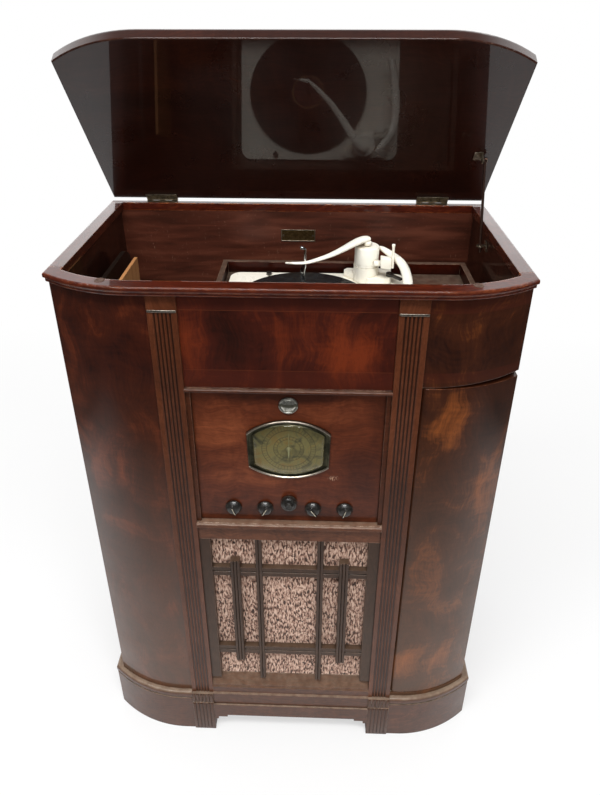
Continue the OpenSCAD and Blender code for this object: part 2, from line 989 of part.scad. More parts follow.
module door_pivots() {
    color("goldenrod")
        for (z = [door_z - run_gap - pivot_t, door_top + run_gap])
            difference() {
                block(pil_out, door_axis_y - 7, z, door_axis_x + 11, door_axis_y + 7,
                    z + pivot_t);
                translate([door_axis_x, door_axis_y, z - 1])
                    cylinder(d = door_pin_d + 2 * fit, h = pivot_t + 2);
            }
}

// ---- Record well ---------------------------------------------------------------

// Plan of the deck box, drawn in by the given wall.
module box_plan(wall) {
    intersection() {
        translate([box_left + wall, 0])
            square([box_right - box_left - 2 * wall, box_back + box_t - wall]);
        bow_plan(inner_half, inner_front + wall, well_back, bow_r - board_t - wall);
    }
}

module deck_box() {
    color("sienna")
        translate([0, 0, well_z])
            linear_extrude(box_top - well_z)
                difference() {
                    box_plan(0);
                    box_plan(box_t);
                }
}

module motor_board() {
    color("burlywood")
        translate([0, 0, deck_z - 12])
            difference() {
                linear_extrude(12)
                    box_plan(box_t);
                translate([spindle_x, spindle_y, -1])
                    cylinder(r = 48, h = 14);
                translate([plate_left + 76, plate_back - 10, -1])
                    cylinder(r = 7, h = 14);
            }
}

// Inner face of the curved panels at a distance from the middle.
function bow_inside(x) = bow_y - sqrt(pow(bow_r - board_t, 2) - pow(x - flat_half, 2));

module record_rack() {
    front = bow_inside(rack_x + rack_t / 2);
    color("saddlebrown")
        translate([-rack_x - rack_t / 2, 0, 0])
            rotate([90, 0, 90])
                linear_extrude(rack_t)
                    union() {
                        translate([front, well_z])
                            square([box_back - front, rack_top - well_z - 40]);
                        translate([front, well_z])
                            square([box_back - front - 40, rack_top - well_z]);
                        translate([box_back - 40, rack_top - 40])
                            circle(r = 40);
                    }
    color("burlywood")
        block(-upright_x - upright_t / 2, bow_inside(upright_x + upright_t / 2), well_z,
            -upright_x + upright_t / 2, upright_back, rack_top);
}

// ---- Record changer ------------------------------------------------------------

module rounded_plan(x0, y0, x1, y1, r) {
    translate([x0 + r, y0])
        square([x1 - x0 - 2 * r, y1 - y0]);
    translate([x0, y0 + r])
        square([x1 - x0, y1 - y0 - 2 * r]);
    for (x = [x0 + r, x1 - r])
        for (y = [y0 + r, y1 - r])
            translate([x, y])
                circle(r = r);
}

module deck_plate() {
    color("ivory")
        translate([0, 0, deck_z])
            difference() {
                linear_extrude(plate_h)
                    rounded_plan(plate_left, plate_front, plate_right, plate_back, 22);
                translate([0, 0, -1])
                    linear_extrude(plate_h - 1)
                        rounded_plan(plate_left + 2, plate_front + 2, plate_right - 2,
                            plate_back - 2, 20);
                translate([spindle_x, spindle_y, 0])
                    cylinder(r = 8, h = plate_h + 1);
                translate([plate_left + 76, plate_back - 10, 0])
                    cylinder(d = 5 + 2 * fit, h = plate_h + 1);
                translate([column_x, column_y, 0])
                    cylinder(r = post_r, h = plate_h + 1);
            }
}

module turntable() {
    color("dimgray")
        translate([spindle_x, spindle_y, base_z])
            difference() {
                union() {
                    translate([0, 0, 3])
                        cylinder(d = platter_d, h = 4);
                    translate([0, 0, 0.3])
                        cylinder(r = 14, h = 4);
                }
                translate([0, 0, -1])
                    cylinder(d = spindle_d + 2 * fit, h = 10);
            }
}

module disc() {
    color("black")
        translate([spindle_x, spindle_y, disc_z])
            difference() {
                cylinder(d = disc_d, h = disc_t);
                translate([0, 0, -1])
                    cylinder(d = spindle_d + 0.2, h = disc_t + 2);
            }
}

module spindle() {
    top = base_z + spindle_h;
    bend = top - 48;
    color("silver") {
        translate([spindle_x, spindle_y, deck_z - 28])
            cylinder(d = spindle_d, h = bend - deck_z + 28);
        hull() {
            translate([spindle_x, spindle_y, bend - 4])
                cylinder(d = spindle_d, h = 4, $fn = 32);
            translate([spindle_x + 3, spindle_y, bend + 10])
                cylinder(d = 4, h = 1, $fn = 32);
        }
        translate([spindle_x + 3, spindle_y, bend + 10])
            cylinder(d = 4, h = 33);
        translate([spindle_x + 3, spindle_y, top - 5])
            sphere(r = 2);
        translate([spindle_x + 3, spindle_y, top - 5])
            rotate([0, -70, 0])
                cylinder(d = 4, h = 5);
        translate([spindle_x - 2, spindle_y, top - 3.3])
            sphere(r = 3.3);
        translate([spindle_x, spindle_y + 0.6, 0])
            rotate([90, 0, 0])
                linear_extrude(1.2)
                    polygon([
                        [3, top - 24], [-5, bend + 4], [-3.6, bend - 34], [0, bend - 34],
                        [0, bend], [3, bend + 10]
                    ]);
    }
}

module motor() {
    color("dimgray")
        translate([spindle_x, spindle_y, 0])
            difference() {
                union() {
                    translate([0, 0, well_z + 12])
                        cylinder(r = 40, h = deck_z + plate_h - 2 - well_z - 12);
                    translate([-20, -46, well_z + 20])
                        cube([40, 92, 26]);
                }
                translate([0, 0, deck_z - 28])
                    cylinder(d = spindle_d, h = 60);
            }
}

module arm_base() {
    color("ivory") {
        difference() {
            union() {
                translate([column_x, column_y, base_z])
                    linear_extrude(arm_foot_h)
                        polygon([
                            [-42, 14], [2, -28], [34, -28], [44, -24], [50, -12], [50, 22],
                            [-36, 22]
                        ]);
                translate([column_x, column_y, base_z + 1])
                    cylinder(r = column_r + 1, h = base_h - 1);
            }
            translate([spindle_x, spindle_y, base_z - 1])
                cylinder(d = disc_d + 8, h = base_h + 2);
        }
        translate([column_x, column_y, base_z - 2])
            cylinder(r = post_r, h = base_h + column_h + 4);
        translate([column_x + 45, column_y - 14, base_z + arm_foot_h - 1])
            cylinder(r = 2, h = 6);
    }
}

// Arm swept through a row of points, each with its own radius, flattened from above.
module swept(points, flat) {
    for (i = [0 : len(points) - 2])
        hull()
            for (p = [points[i], points[i + 1]])
                translate([p[0], p[1], p[2]])
                    scale([1, 1, flat])
                        sphere(r = p[3], $fn = 20);
}

module steady_arm() {
    x = column_x;
    y = column_y;
    z = column_z + column_h + 4.5;
    tip_x = spindle_x - 5;
    tip_y = spindle_y - spindle_d / 2 - 8.5;
    color("ivory")
        difference() {
            union() {
                translate([x, y, z - 4])
                    cylinder(r = 9.5, h = 9);
                swept([
                    [x + 3, y + 10, z + 5.5, 8], [x - 14, y + 1.2, z + 6, 10.5],
                    [x - 45, y - 48, z + 7.3, 8], [x - 73, y - 85.5, z + 8.5, 6.2],
                    [tip_x + 29.5, tip_y + 21, z + 9.5, 5], [tip_x + 8, tip_y + 3, z + 11, 4.2],
                    [tip_x - 24, tip_y + 0.5, z + 12.5, 3.2]
                ], 0.62);
            }
            translate([x, y, z - 10])
                cylinder(r = post_r + fit, h = 8.5);
        }
}

module pickup_turret() {
    lug_x = column_r + 2;
    lug_y = -34;
    color("ivory")
        translate([column_x, column_y, column_z + 0.4])
            difference() {
                union() {
                    cylinder(r = column_r, h = column_h - 1);
                    rotate([0, 0, -45])
                        translate([column_r - 8, -6, 0.6])
                            cube([28, 12, 5]);
                    translate([lug_x, lug_y, -10])
                        rotate([0, 0, -30])
                            cube([24, 14, 16]);
                    translate([lug_x + 20.5, lug_y, 4])
                        cylinder(d = 5.5, h = 52);
                }
                translate([0, 0, -1])
                    cylinder(r = post_r + fit, h = column_h + 2);
                rotate([0, 0, 22])
                    translate([column_r - 9, 0, 28])
                        rotate([0, 90, 0])
                            cylinder(d = 4 + 2 * fit, h = 12);
            }
}

module pickup_arm() {
    root_r = column_r + run_gap;
    root_x = column_x + (root_r + 3) * cos(22);
    root_y = column_y + (root_r + 3) * sin(22);
    z = column_z + 28.4;
    color("ivory")
        union() {
            translate([column_x, column_y, z])
                rotate([0, 0, 22])
                    translate([column_r - 8, 0, 0])
                        rotate([0, 90, 0])
                            cylinder(d = 4, h = 12);
            difference() {
                union() {
                    translate([column_x, column_y, z])
                        rotate([0, 0, 22])
                            translate([root_r, 0, 0])
                                rotate([0, 90, 0])
                                    cylinder(r = 9, h = 6);
                    swept([
                        [root_x + 3, root_y + 1, z + 1.5, 6.5],
                        [root_x + 15, root_y - 12, z - 2, 8],
                        [root_x + 27.5, root_y - 27, z - 5.5, 9],
                        [root_x + 37.5, root_y - 47, z - 8.5, 9.5],
                        [root_x + 41.5, root_y - 77, z - 11.5, 9.5],
                        [root_x + 41.5, root_y - 109, z - 13.5, 9.5],
                        [root_x + 38, root_y - 146, z - 15.5, 9],
                        [root_x + 32, root_y - 184, z - 16.5, 8]
                    ], 0.7);
                    block(root_x + 24, root_y - 192, z - 26.5, root_x + 40, root_y - 172,
                        z - 16);
                }
                translate([column_x, column_y, z - 40])
                    cylinder(r = column_r + 0.45, h = 80);
            }
        }
}

module reject_lever() {
    x = column_x + 45;
    y = column_y - 14;
    z = base_z + arm_foot_h;
    color("black")
        difference() {
            union() {
                translate([x, y, z + 0.3])
                    cylinder(r = 7, h = 6);
                translate([x, y, z + 1.3])
                    rotate([0, 0, -50])
                        translate([0, -3.5, 0])
                            cube([30, 7, 4]);
            }
            translate([x, y, z])
                cylinder(r = 2 + fit, h = 8);
        }
}

module speed_knob() {
    color("black")
        translate([plate_left + 76, plate_back - 10, base_z]) {
            translate([0, 0, 0.4])
                cylinder(r = 5.5, h = 5);
            translate([0, 0, -8])
                cylinder(d = 5, h = 9);
            translate([-1.2, -8, 1])
                cube([2.4, 8, 4.4]);
        }
}

// ---- Radio ---------------------------------------------------------------------

module radio_chassis() {
    y = chassis_y;
    z = shelf_top;
    color("lightslategray")
        difference() {
            union() {
                block(-150, y, z, 150, y + chassis_d, chassis_top);
                block(60, y + 90, chassis_top, 140, y + 170, chassis_top + 75);
                for (x = [-120, -70, -20])
                    translate([x, y + 160, chassis_top])
                        cylinder(r = 16, h = 62);
                block(-30, y - 14, chassis_top - 20, 30, y - 12, dial_z + 16);
                block(-30, y - 14, chassis_top - 20, 30, y, chassis_top - 12);
                for (x = [-knob_out, -knob_in, knob_in, knob_out])
                    rod_y(x, y - 8, knob_z, 11, 8);
            }
            block(-148, y + 2, z - 1, 148, y + chassis_d - 2, chassis_top - 2);
            for (x = [-knob_out, -knob_in, knob_in, knob_out])
                rod_y(x, y - 20, knob_z, shaft_d + 2 * fit, 40);
            rod_y(0, y - 20, tune_z, shaft_d + 2 * fit, 40);
            rod_y(0, y - 20, dial_z, 4 + 2 * fit, 20);
        }
    color("lightgray")
        for (x = [-120, -70, -20, 40, 100])
            translate([x, y + 50, chassis_top]) {
                cylinder(r = 14, h = 26);
                translate([0, 0, 26])
                    cylinder(r1 = 14, r2 = 20, h = 20);
                translate([0, 0, 46])
                    cylinder(r1 = 20, r2 = 11, h = 44);
                translate([0, 0, 90])
                    sphere(r = 11);
            }
}

module dial_escutcheon() {
    color("darkgoldenrod")
        difference() {
            union() {
                upright_plate(panel_set + 1, fascia_set - 1)
                    dial_outline(0);
                upright_plate(fascia_y - cut, fascia_t + cut)
                    dial_outline(-6.4);
            }
            upright_plate(panel_set, fascia_t + fascia_set + 1)
                dial_outline(-13);
            upright_plate(fascia_y - 3, 2)
                dial_outline(-10);
        }
}

module dial_glass() {
    color("lightcyan")
        upright_plate(fascia_y - 2.9, 1.8)
            dial_outline(-10.2);
}

module dial_plate() {
    color("darkkhaki")
        difference() {
            upright_plate(fascia_back, 1.5)
                dial_outline(-2);
            rod_y(0, fascia_y, dial_z, 6, 40);
        }
}

module dial_pointer() {
    color("black") {
        rod_y(0, fascia_back - 4, dial_z, 4, chassis_y - 10 - fascia_back + 4);
        rod_y(0, fascia_back - 4, dial_z, 9, 2);
        block(-0.8, fascia_back - 3.4, dial_z - 8, 0.8, fascia_back - 2.6, dial_z + 34);
        rod_y(0, fascia_back + 8, dial_z, 70, 8);
    }
}

// Control knob on its shaft, with a skirt and a pointed grip.
module control_knob(x, z, turn) {
    front = fascia_y - run_gap - knob_l;
    color("black") {
        rod_y(x, front + 5, z, knob_d, knob_l - 5);
        translate([x, front + knob_l - 3, z])
            rotate([90, turn, 0])
                linear_extrude(knob_l - 3)
                    polygon([
                        [-6, -10], [6, -10], [7, 6], [0, knob_d / 2 - 0.8], [-7, 6]
                    ]);
        rod_y(x, front + 5, z, shaft_d, chassis_y + 12 - front - 5);
    }
}

module volume_knob() {
    control_knob(-knob_out, knob_z, -30);
}

module tone_knob() {
    control_knob(-knob_in, knob_z, 25);
}

module wave_knob() {
    control_knob(knob_in, knob_z, -20);
}

module selector_knob() {
    control_knob(knob_out, knob_z, 30);
}

module tuning_knob() {
    front = fascia_y - run_gap - knob_l;
    color("black") {
        rod_y(0, front + 3, tune_z, knob_d - 1, knob_l - 3);
        rod_y(0, front, tune_z, knob_d / 2, 4);
        rod_y(0, front + 5, tune_z, shaft_d, chassis_y + 12 - front - 5);
    }
}

// ---- Assembly ------------------------------------------------------------------

// Sets the middle of the whole footprint on the origin.
module placed() {
    translate([0, -centre_y, 0])
        children();
}

placed() side_left();
placed() side_right();
placed() curved_panel_left();
placed() curved_panel_right();
placed() back_panel();
placed() bottom_board();
placed() partition_left();
placed() partition_right();
placed() well_floor();
placed() chassis_shelf();
placed() pilaster_left();
placed() pilaster_right();
placed() upper_front_panel();
placed() fascia_moulding();
placed() radio_fascia();
placed() shelf_rail();
placed() grille_fret();
placed() grille_cloth();
placed() baffle_board();
placed() loudspeaker();
placed() lower_rail();
placed() plinth_left();
placed() plinth_right();
placed() plinth_apron();
placed() rim_front_rail();
placed() rim_left();
placed() rim_right();
placed() rim_back_rail();
placed() deck_box();
placed() motor_board();
placed() record_rack();
placed() hinge_leaves_case();
placed() hinge_leaves_lid();
placed() lid();
placed() stay_bracket();
placed() stay_rod();
placed() stay_guide();
placed() record_door();
placed() door_pivots();
placed() deck_plate();
placed() turntable();
placed() disc();
placed() spindle();
placed() motor();
placed() arm_base();
placed() steady_arm();
placed() pickup_turret();
placed() pickup_arm();
placed() reject_lever();
placed() speed_knob();
placed() radio_chassis();
placed() dial_escutcheon();
placed() dial_plate();
placed() dial_glass();
placed() dial_pointer();
placed() tuning_knob();
placed() volume_knob();
placed() tone_knob();
placed() wave_knob();
placed() selector_knob();
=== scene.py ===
"""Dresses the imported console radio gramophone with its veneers, fittings and studio.

Sizes are millimetres in the cabinet's own layout: x to the right, y back from the
pilaster faces and z up from the floor. ``spot`` turns them into the frame's metres.
"""

import logging
import math
from collections.abc import Callable, Sequence
from dataclasses import dataclass
from enum import Enum

import bmesh
import bpy
from mathutils import Matrix, Vector


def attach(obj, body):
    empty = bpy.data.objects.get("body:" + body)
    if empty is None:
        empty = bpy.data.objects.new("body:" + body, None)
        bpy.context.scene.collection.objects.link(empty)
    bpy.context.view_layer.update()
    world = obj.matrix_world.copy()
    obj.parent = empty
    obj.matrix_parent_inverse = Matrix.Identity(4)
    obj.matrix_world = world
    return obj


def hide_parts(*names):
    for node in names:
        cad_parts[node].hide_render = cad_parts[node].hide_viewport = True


log = logging.getLogger("cabinet")
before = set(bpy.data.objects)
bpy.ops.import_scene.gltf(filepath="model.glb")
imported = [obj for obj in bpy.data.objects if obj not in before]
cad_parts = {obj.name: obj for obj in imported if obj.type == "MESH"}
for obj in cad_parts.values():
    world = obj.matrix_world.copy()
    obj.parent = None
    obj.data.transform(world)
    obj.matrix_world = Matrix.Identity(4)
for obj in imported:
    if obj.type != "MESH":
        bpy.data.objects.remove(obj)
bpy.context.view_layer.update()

MM = 0.001
PILASTER_FACE = -0.2044814
RIGHT_ANGLE = math.radians(90)
FACING_FRONT = (RIGHT_ANGLE, 0, 0)
ORIGIN = Vector((0, 0, 0))
OFF_LATTICE = (3.1, 7.7, 5.3)  # off the whole numbers, where noise is always even
Socket = bpy.types.NodeSocket
Test = Callable[[Vector, Vector], bool]
Triple = tuple[float, float, float]
Profile = Sequence[tuple[float, float]]

# Settings of the nodes that mix colours and work with numbers.
COLOURS = {"data_type": "RGBA"}
TIMES = {"operation": "MULTIPLY", "use_clamp": True}
PLUS = {"operation": "ADD", "use_clamp": True}
MINUS = {"operation": "SUBTRACT", "use_clamp": True}
OVER = {"operation": "GREATER_THAN", "use_clamp": True}
UNDER = {"operation": "LESS_THAN", "use_clamp": True}
LARGER = {"operation": "MAXIMUM", "use_clamp": True}


def spot(x: float, y: float, z: float) -> Vector:
    """Turns a place in millimetres in the cabinet's layout into the frame's metres."""
    return Vector((x * MM, PILASTER_FACE + y * MM, z * MM))


def linear(code: str) -> tuple[float, float, float, float]:
    """Turns an sRGB hex colour into the linear colour that a shader takes."""
    levels = [int(code[i : i + 2], 16) / 255 for i in (1, 3, 5)]
    red, green, blue = (
        c / 12.92 if c <= 0.04045 else ((c + 0.055) / 1.055) ** 2.4 for c in levels
    )
    return red, green, blue, 1.0


class Way(Enum):
    """One of the three directions of the layout."""

    SIDEWAYS = 0
    INWARD = 1
    UPRIGHT = 2

    def sizes(self, across: float, along: float) -> Triple:
        """Returns a pattern's three sizes, longer or shorter along this direction."""
        return tuple(along if i == self.value else across for i in range(3))


# ---- Finishes ------------------------------------------------------------------


@dataclass(frozen=True)
class Band:
    """A strip of other veneer, or a stringing line, let into a surface."""

    way: Way
    low: float
    high: float
    colour: str
    share: float = 1.0


@dataclass(frozen=True)
class Glow:
    """A lighter or darker patch of figure, such as the heart of a crotch veneer."""

    x: float
    y: float
    z: float
    reach: Triple
    strength: float


@dataclass(frozen=True)
class Flutes:
    """The row of flutes down each pilaster, which hold dark wax and painted shade."""

    middle: float = 191.0
    pitch: float = 6.2
    count: int = 5
    top: float = 1058.0


class NodeBench:
    """A node tree under way."""

    def __init__(self, tree: bpy.types.NodeTree) -> None:
        """Empties the tree."""
        self.tree = tree
        tree.nodes.clear()

    def add(
        self,
        kind: str,
        feed: dict | Sequence = (),
        out: int | str = 0,
        stops: Sequence[tuple[float, str]] = (),
        **settings: object,
    ) -> Socket | None:
        """Adds a node with its settings and links.

        Args:
            kind: The node's type, without the words that all types share.
            feed: A value, a socket or a hex colour for each input, in their order or
                by name or number.
            out: Name or number of the output to return.
            stops: Positions and hex colours of a colour ramp.
            settings: The node's own options.

        Returns:
            The output asked for, or None from a node that has no output.
        """
        node = self.tree.nodes.new("ShaderNode" + kind)
        for option, value in settings.items():
            setattr(node, option, value)
        pairs = feed.items() if isinstance(feed, dict) else enumerate(feed)
        for key, value in pairs:
            if isinstance(value, Socket):
                self.tree.links.new(value, node.inputs[key])
            else:
                plain = linear(value) if isinstance(value, str) else value
                node.inputs[key].default_value = plain
        if stops:
            ramp = node.color_ramp
            ramp.elements.remove(ramp.elements[1])
            ramp.elements[0].position = stops[0][0]
            ramp.elements[0].color = linear(stops[0][1])
            for where, code in stops[1:]:
                ramp.elements.new(where).color = linear(code)
        return node.outputs[out] if node.outputs else None


class Finish(NodeBench):
    """A material under way, with the patterns that finishes share."""

    def __init__(self, name: str) -> None:
        """Starts an empty material."""
        self.material = bpy.data.materials.new(name)
        self.material.use_nodes = True
        super().__init__(self.material.node_tree)
        self.place = self.add("TexCoord", out="Object")
        self.axes = [self.add("SeparateXYZ", (self.place,), i) for i in range(3)]

    def closed(self, surface: Socket) -> bpy.types.Material:
        """Ends the material with its surface and returns it."""
        self.add("OutputMaterial", {"Surface": surface})
        return self.material

    def mottle(
        self,
        sizes: Triple,
        detail: float = 2.0,
        swirl: float = 0.0,
        place: Socket | None = None,
    ) -> Socket:
        """Makes a cloudy pattern.

        Args:
            sizes: Size of the clouds along x, y and z, in millimetres.
            detail: Number of finer layers.
            swirl: How far the clouds are drawn into curls.
            place: Coordinates to use, the object's own if none are given.

        Returns:
            A value from 0 to 1.
        """
        scale = Vector([1000 / s for s in sizes])
        lay = {"Vector": place or self.place, "Scale": scale}
        lay["Location"] = OFF_LATTICE
        cloud = {"Vector": self.add("Mapping", lay), "Scale": 1.0, "Detail": detail}
        cloud |= {"Roughness": 0.55, "Distortion": swirl}
        return self.add("TexNoise", cloud)

    def between(self, way: Way, low: float, high: float) -> Socket:
        """Makes a mask that is 1 between two planes, set in millimetres."""
        shift = PILASTER_FACE / MM if way is Way.INWARD else 0.0
        over = self.add("Math", (self.axes[way.value], (low + shift) * MM), **OVER)
        under = self.add("Math", (self.axes[way.value], (high + shift) * MM), **UNDER)
        return self.add("Math", (over, under), **TIMES)

    def stripes(self, row: Flutes) -> Socket:
        """Makes the mask of a row of flutes, which is 1 in the middle of each."""
        off = self.add("Math", (self.axes[0],), operation="ABSOLUTE")
        count = 2 * math.pi / row.pitch
        turn = (off, count / MM, -count * row.middle)
        turn = self.add("Math", turn, operation="MULTIPLY_ADD")
        wave = self.add("Math", (turn,), operation="COSINE")
        mask = self.add("MapRange", (wave, 0.0, 0.8))
        half = row.pitch * row.count / 2
        inside = self.add("Math", (off, (row.middle + half) * MM), **UNDER)
        beyond = self.add("Math", (off, (row.middle - half) * MM), **OVER)
        below = self.between(Way.UPRIGHT, 0.0, row.top)
        mask = self.add("Math", (mask, below), **TIMES)
        across = self.add("Math", (inside, beyond), **TIMES)
        return self.add("Math", (mask, across), **TIMES)

    def grime_and_shade(self, reach: float) -> Socket:
        """Finds grooves and corners within a reach in millimetres, for painted shade
        and dirt.
        """
        sky = self.add("AmbientOcclusion", {"Distance": reach * MM}, "AO", samples=6)
        return self.add("MapRange", (sky, 0.8, 0.3))

    def upper_faces(self) -> Socket:
        """Finds the faces that look up, where dust and wear settle and a painted sheen
        is laid.
        """
        normal = self.add("NewGeometry", out="Normal")
        return self.add("MapRange", (self.add("SeparateXYZ", (normal,), 2), 0.25, 0.9))

    def patch(self, glow: Glow, place: Socket | None = None) -> Socket:
        """Makes a soft round mask, 1 in the middle of a glow and 0 at its reach."""
        scale = Vector([1 / (r * MM) for r in glow.reach])
        centre = spot(glow.x, glow.y, glow.z)
        shift = Vector([-c * s for c, s in zip(centre, scale)])
        lay = {"Vector": place or self.place, "Scale": scale, "Location": shift}
        reach = self.add(
            "VectorMath", (self.add("Mapping", lay),), "Value", operation="LENGTH"
        )
        fade = (reach, 1.0, 0.15, 0.0, 1.0)
        return self.add("MapRange", fade, interpolation_type="SMOOTHERSTEP")

    def worn_edges(self, reach: float) -> tuple[Socket, Socket]:
        """Finds the arrises of a piece.

        Args:
            reach: Width of the rounding, in millimetres.

        Returns:
            A mask of the arrises and the normal that rounds them.
        """
        rounded = self.add("Bevel", {"Radius": reach * MM}, samples=4)
        flat = self.add("NewGeometry", out="Normal")
        lean = self.add("VectorMath", (rounded, flat), "Value", operation="DOT_PRODUCT")
        return self.add("MapRange", (lean, 0.995, 0.86)), rounded


@dataclass(frozen=True)
class PolishedMahogany:
    """French-polished mahogany, in veneer or in the solid.

    Shellac rubbed on in many coats gives a deep, slightly uneven gloss over a red-brown
    wood with dark pores. Arrises are rubbed through to paler wood and carry a painted
    highlight, upper faces carry dust and wear with a painted sheen, and grooves keep
    old wax and dirt with painted shade. Low faces are lightened by painted light from
    the floor.
    """

    name: str
    dark: str = "#180704"
    body: str = "#35140b"
    light: str = "#6b3119"
    floor_light_tone: str = "#42301f"  # painted light from the pale floor, added low down
    floor_light_share: float = 0.9
    grain: Way = Way.UPRIGHT
    figure: float = 85.0  # mm, the size of the flame figure
    figure_share: float = 0.62  # how far the figure, and not the lines, sets the colour
    line: float = 4.0  # mm, the width of the growth lines
    glows: tuple[Glow, ...] = ()
    bands: tuple[Band, ...] = ()
    chips: tuple[Glow, ...] = ()
    flutes: Flutes | None = None
    # Colour and share rubbed onto the arrises: wear, and a painted highlight.
    worn: str = "#9a6243"
    wear: float = 0.5
    arris: float = 1.6  # mm
    # Share of pale colour on upper faces: dust, and a painted sheen.
    dust_and_sheen: float = 0.0
    groove: float = 0.0  # mm, how far grooves and corners are darkened with dirt and painted shade
    roughness: float = 0.38
    coat: float = 0.55
    coat_roughness: float = 0.07

    def make(self) -> bpy.types.Material:
        """Builds the material."""
        f = Finish(self.name)
        bent = self.bend(f)
        lines = f.mottle(self.grain.sizes(self.line, self.line * 30), 3.0, 0.0, bent)
        wood = self.figured(f, bent, lines)
        # Pores are 0.1 mm wide in the real wood and drawn at 0.9 mm, so that they show.
        pores = f.mottle(self.grain.sizes(0.9, 14.0), 1.0, 0.0, bent)
        mask = f.add("MapRange", (pores, 0.58, 0.72))
        mask = f.add("Math", (mask, 0.35), **TIMES)
        wood = f.add("Mix", {0: mask, 6: wood, 7: self.dark}, 2, **COLOURS)
        for band in self.bands:
            inlay = f.add("Mix", {0: lines, 6: band.colour, 7: wood}, 2, **COLOURS)
            inlay = f.add("Mix", {0: band.share, 6: wood, 7: inlay}, 2, **COLOURS)
            mask = f.between(band.way, band.low, band.high)
            wood = f.add("Mix", {0: mask, 6: wood, 7: inlay}, 2, **COLOURS)
        wood, rounded = self.aged(f, wood)
        least, most = self.roughness - 0.06, self.roughness + 0.08
        gloss = f.add("MapRange", (f.mottle((60.0,) * 3, 4.0), 0.3, 0.7, least, most))
        skin = {"Height": pores, "Distance": 0.03 * MM, "Normal": rounded}
        shellac = {"Height": lines, "Distance": 0.012 * MM, "Normal": rounded}
        surface = {"Base Color": wood, "Roughness": gloss, "Specular IOR Level": 0.12}
        surface |= {"Coat Weight": self.coat, "Coat Roughness": self.coat_roughness}
        surface["Normal"] = f.add("Bump", skin)
        surface["Coat Normal"] = f.add("Bump", shellac)
        return f.closed(f.add("BsdfPrincipled", surface))

    def bend(self, f: Finish) -> Socket:
        """Returns coordinates that wander, as the fibres of curly wood do."""
        curl = {"Vector": f.place, "Scale": 700 / self.figure, "Detail": 2.0}
        warp = f.add("TexNoise", curl, "Color")
        centred = f.add("VectorMath", (warp, (0.5,) * 3), operation="SUBTRACT")
        reach = (self.figure * 0.9 * MM,) * 3
        return f.add("VectorMath", (centred, reach, f.place), operation="MULTIPLY_ADD")

    def figured(self, f: Finish, bent: Socket, lines: Socket) -> Socket:
        """Colours the wood by its flame figure.

        Args:
            f: The finish under way.
            bent: Coordinates that wander with the fibres.
            lines: The growth lines.

        Returns:
            The colour.
        """
        size = self.figure
        flame = f.mottle(self.grain.sizes(size, size * 1.9), 4.0, 1.6, bent)
        # Ripple across the fibres, which catches the light as the tree's bends do.
        ripple = f.mottle(self.grain.sizes(size * 0.6, 7.0), 1.0, 0.3, bent)
        tone = f.add("Mix", {0: self.figure_share, 2: lines, 3: flame})
        tone = f.add("Mix", {0: 0.14, 2: tone, 3: ripple})
        broken = f.add("MapRange", (flame, 0.3, 0.65, 0.45))
        for glow in self.glows:
            spread = f.add("Math", (f.patch(glow, bent), broken), **TIMES)
            amount = f.add("Math", (spread, abs(glow.strength)), **TIMES)
            rule = PLUS if glow.strength > 0 else MINUS
            tone = f.add("Math", (tone, amount), **rule)
        stops = [(0.3, self.dark), (0.53, self.body), (0.84, self.light)]
        wood = f.add("ValToRGB", (tone,), stops=stops)
        # Lower faces are lightened toward the floor light tone: painted light from the
        # pale floor below.
        low = f.add("MapRange", (f.axes[2], 0.95, 0.25))
        low = f.add("Math", (low, self.floor_light_share), **TIMES)
        light = {0: 1.0, 6: wood, 7: self.floor_light_tone}
        faded = f.add("Mix", light, 2, blend_type="ADD", **COLOURS)
        return f.add("Mix", {0: low, 6: wood, 7: faded}, 2, **COLOURS)

    def aged(self, f: Finish, wood: Socket) -> tuple[Socket, Socket]:
        """Wears the arrises and dusts the upper faces, with a painted highlight and
        sheen there, and darkens the grooves with dirt and painted shade.

        Args:
            f: The finish under way.
            wood: The colour so far.

        Returns:
            The colour and the normal that rounds the arrises.
        """
        edge, rounded = f.worn_edges(self.arris)
        patchy = f.add("MapRange", (f.mottle((14.0,) * 3, 5.0), 0.36, 0.64))
        coats = []
        if self.flutes:
            # Dark wax in the flutes, with painted shade there.
            wax_and_shade = f.add("Math", (f.stripes(self.flutes), 0.85), **TIMES)
            coats.append((wax_and_shade, "#150a06"))
        # Grooves and corners are darkened: dirt, and painted shade where they are
        # hidden.
        if self.groove:
            shade_and_dirt = f.add("Math", (f.grime_and_shade(self.groove), 0.85), **TIMES)
            coats.append((shade_and_dirt, "#120805"))
        if self.dust_and_sheen:
            # Upper faces turn pale: dust, and a painted sheen of the bright overhead.
            patchy_dust_and_sheen = f.add("MapRange", (patchy, 0.0, 1.0, 0.55, 1.0))
            dust_and_sheen_mask = f.add("Math", (f.upper_faces(), patchy_dust_and_sheen), **TIMES)
            coats.append((f.add("Math", (dust_and_sheen_mask, self.dust_and_sheen), **TIMES), "#a08d7a"))
        # Arrises turn pale: wear, and a painted highlight where rounded edges catch the
        # light.
        rub_and_highlight = f.add("Math", (edge, patchy), **TIMES)
        coats.append((f.add("Math", (rub_and_highlight, self.wear), **TIMES), self.worn))
        for chip in self.chips:
            nicks = f.add("MapRange", (f.mottle((1.8, 1.8, 8.0), 2.0, 1.5), 0.52, 0.6))
            coats.append((f.add("Math", (f.patch(chip), nicks), **TIMES), "#c09a80"))
        for share, colour in coats:
            wood = f.add("Mix", {0: share, 6: wood, 7: colour}, 2, **COLOURS)
        return wood, rounded


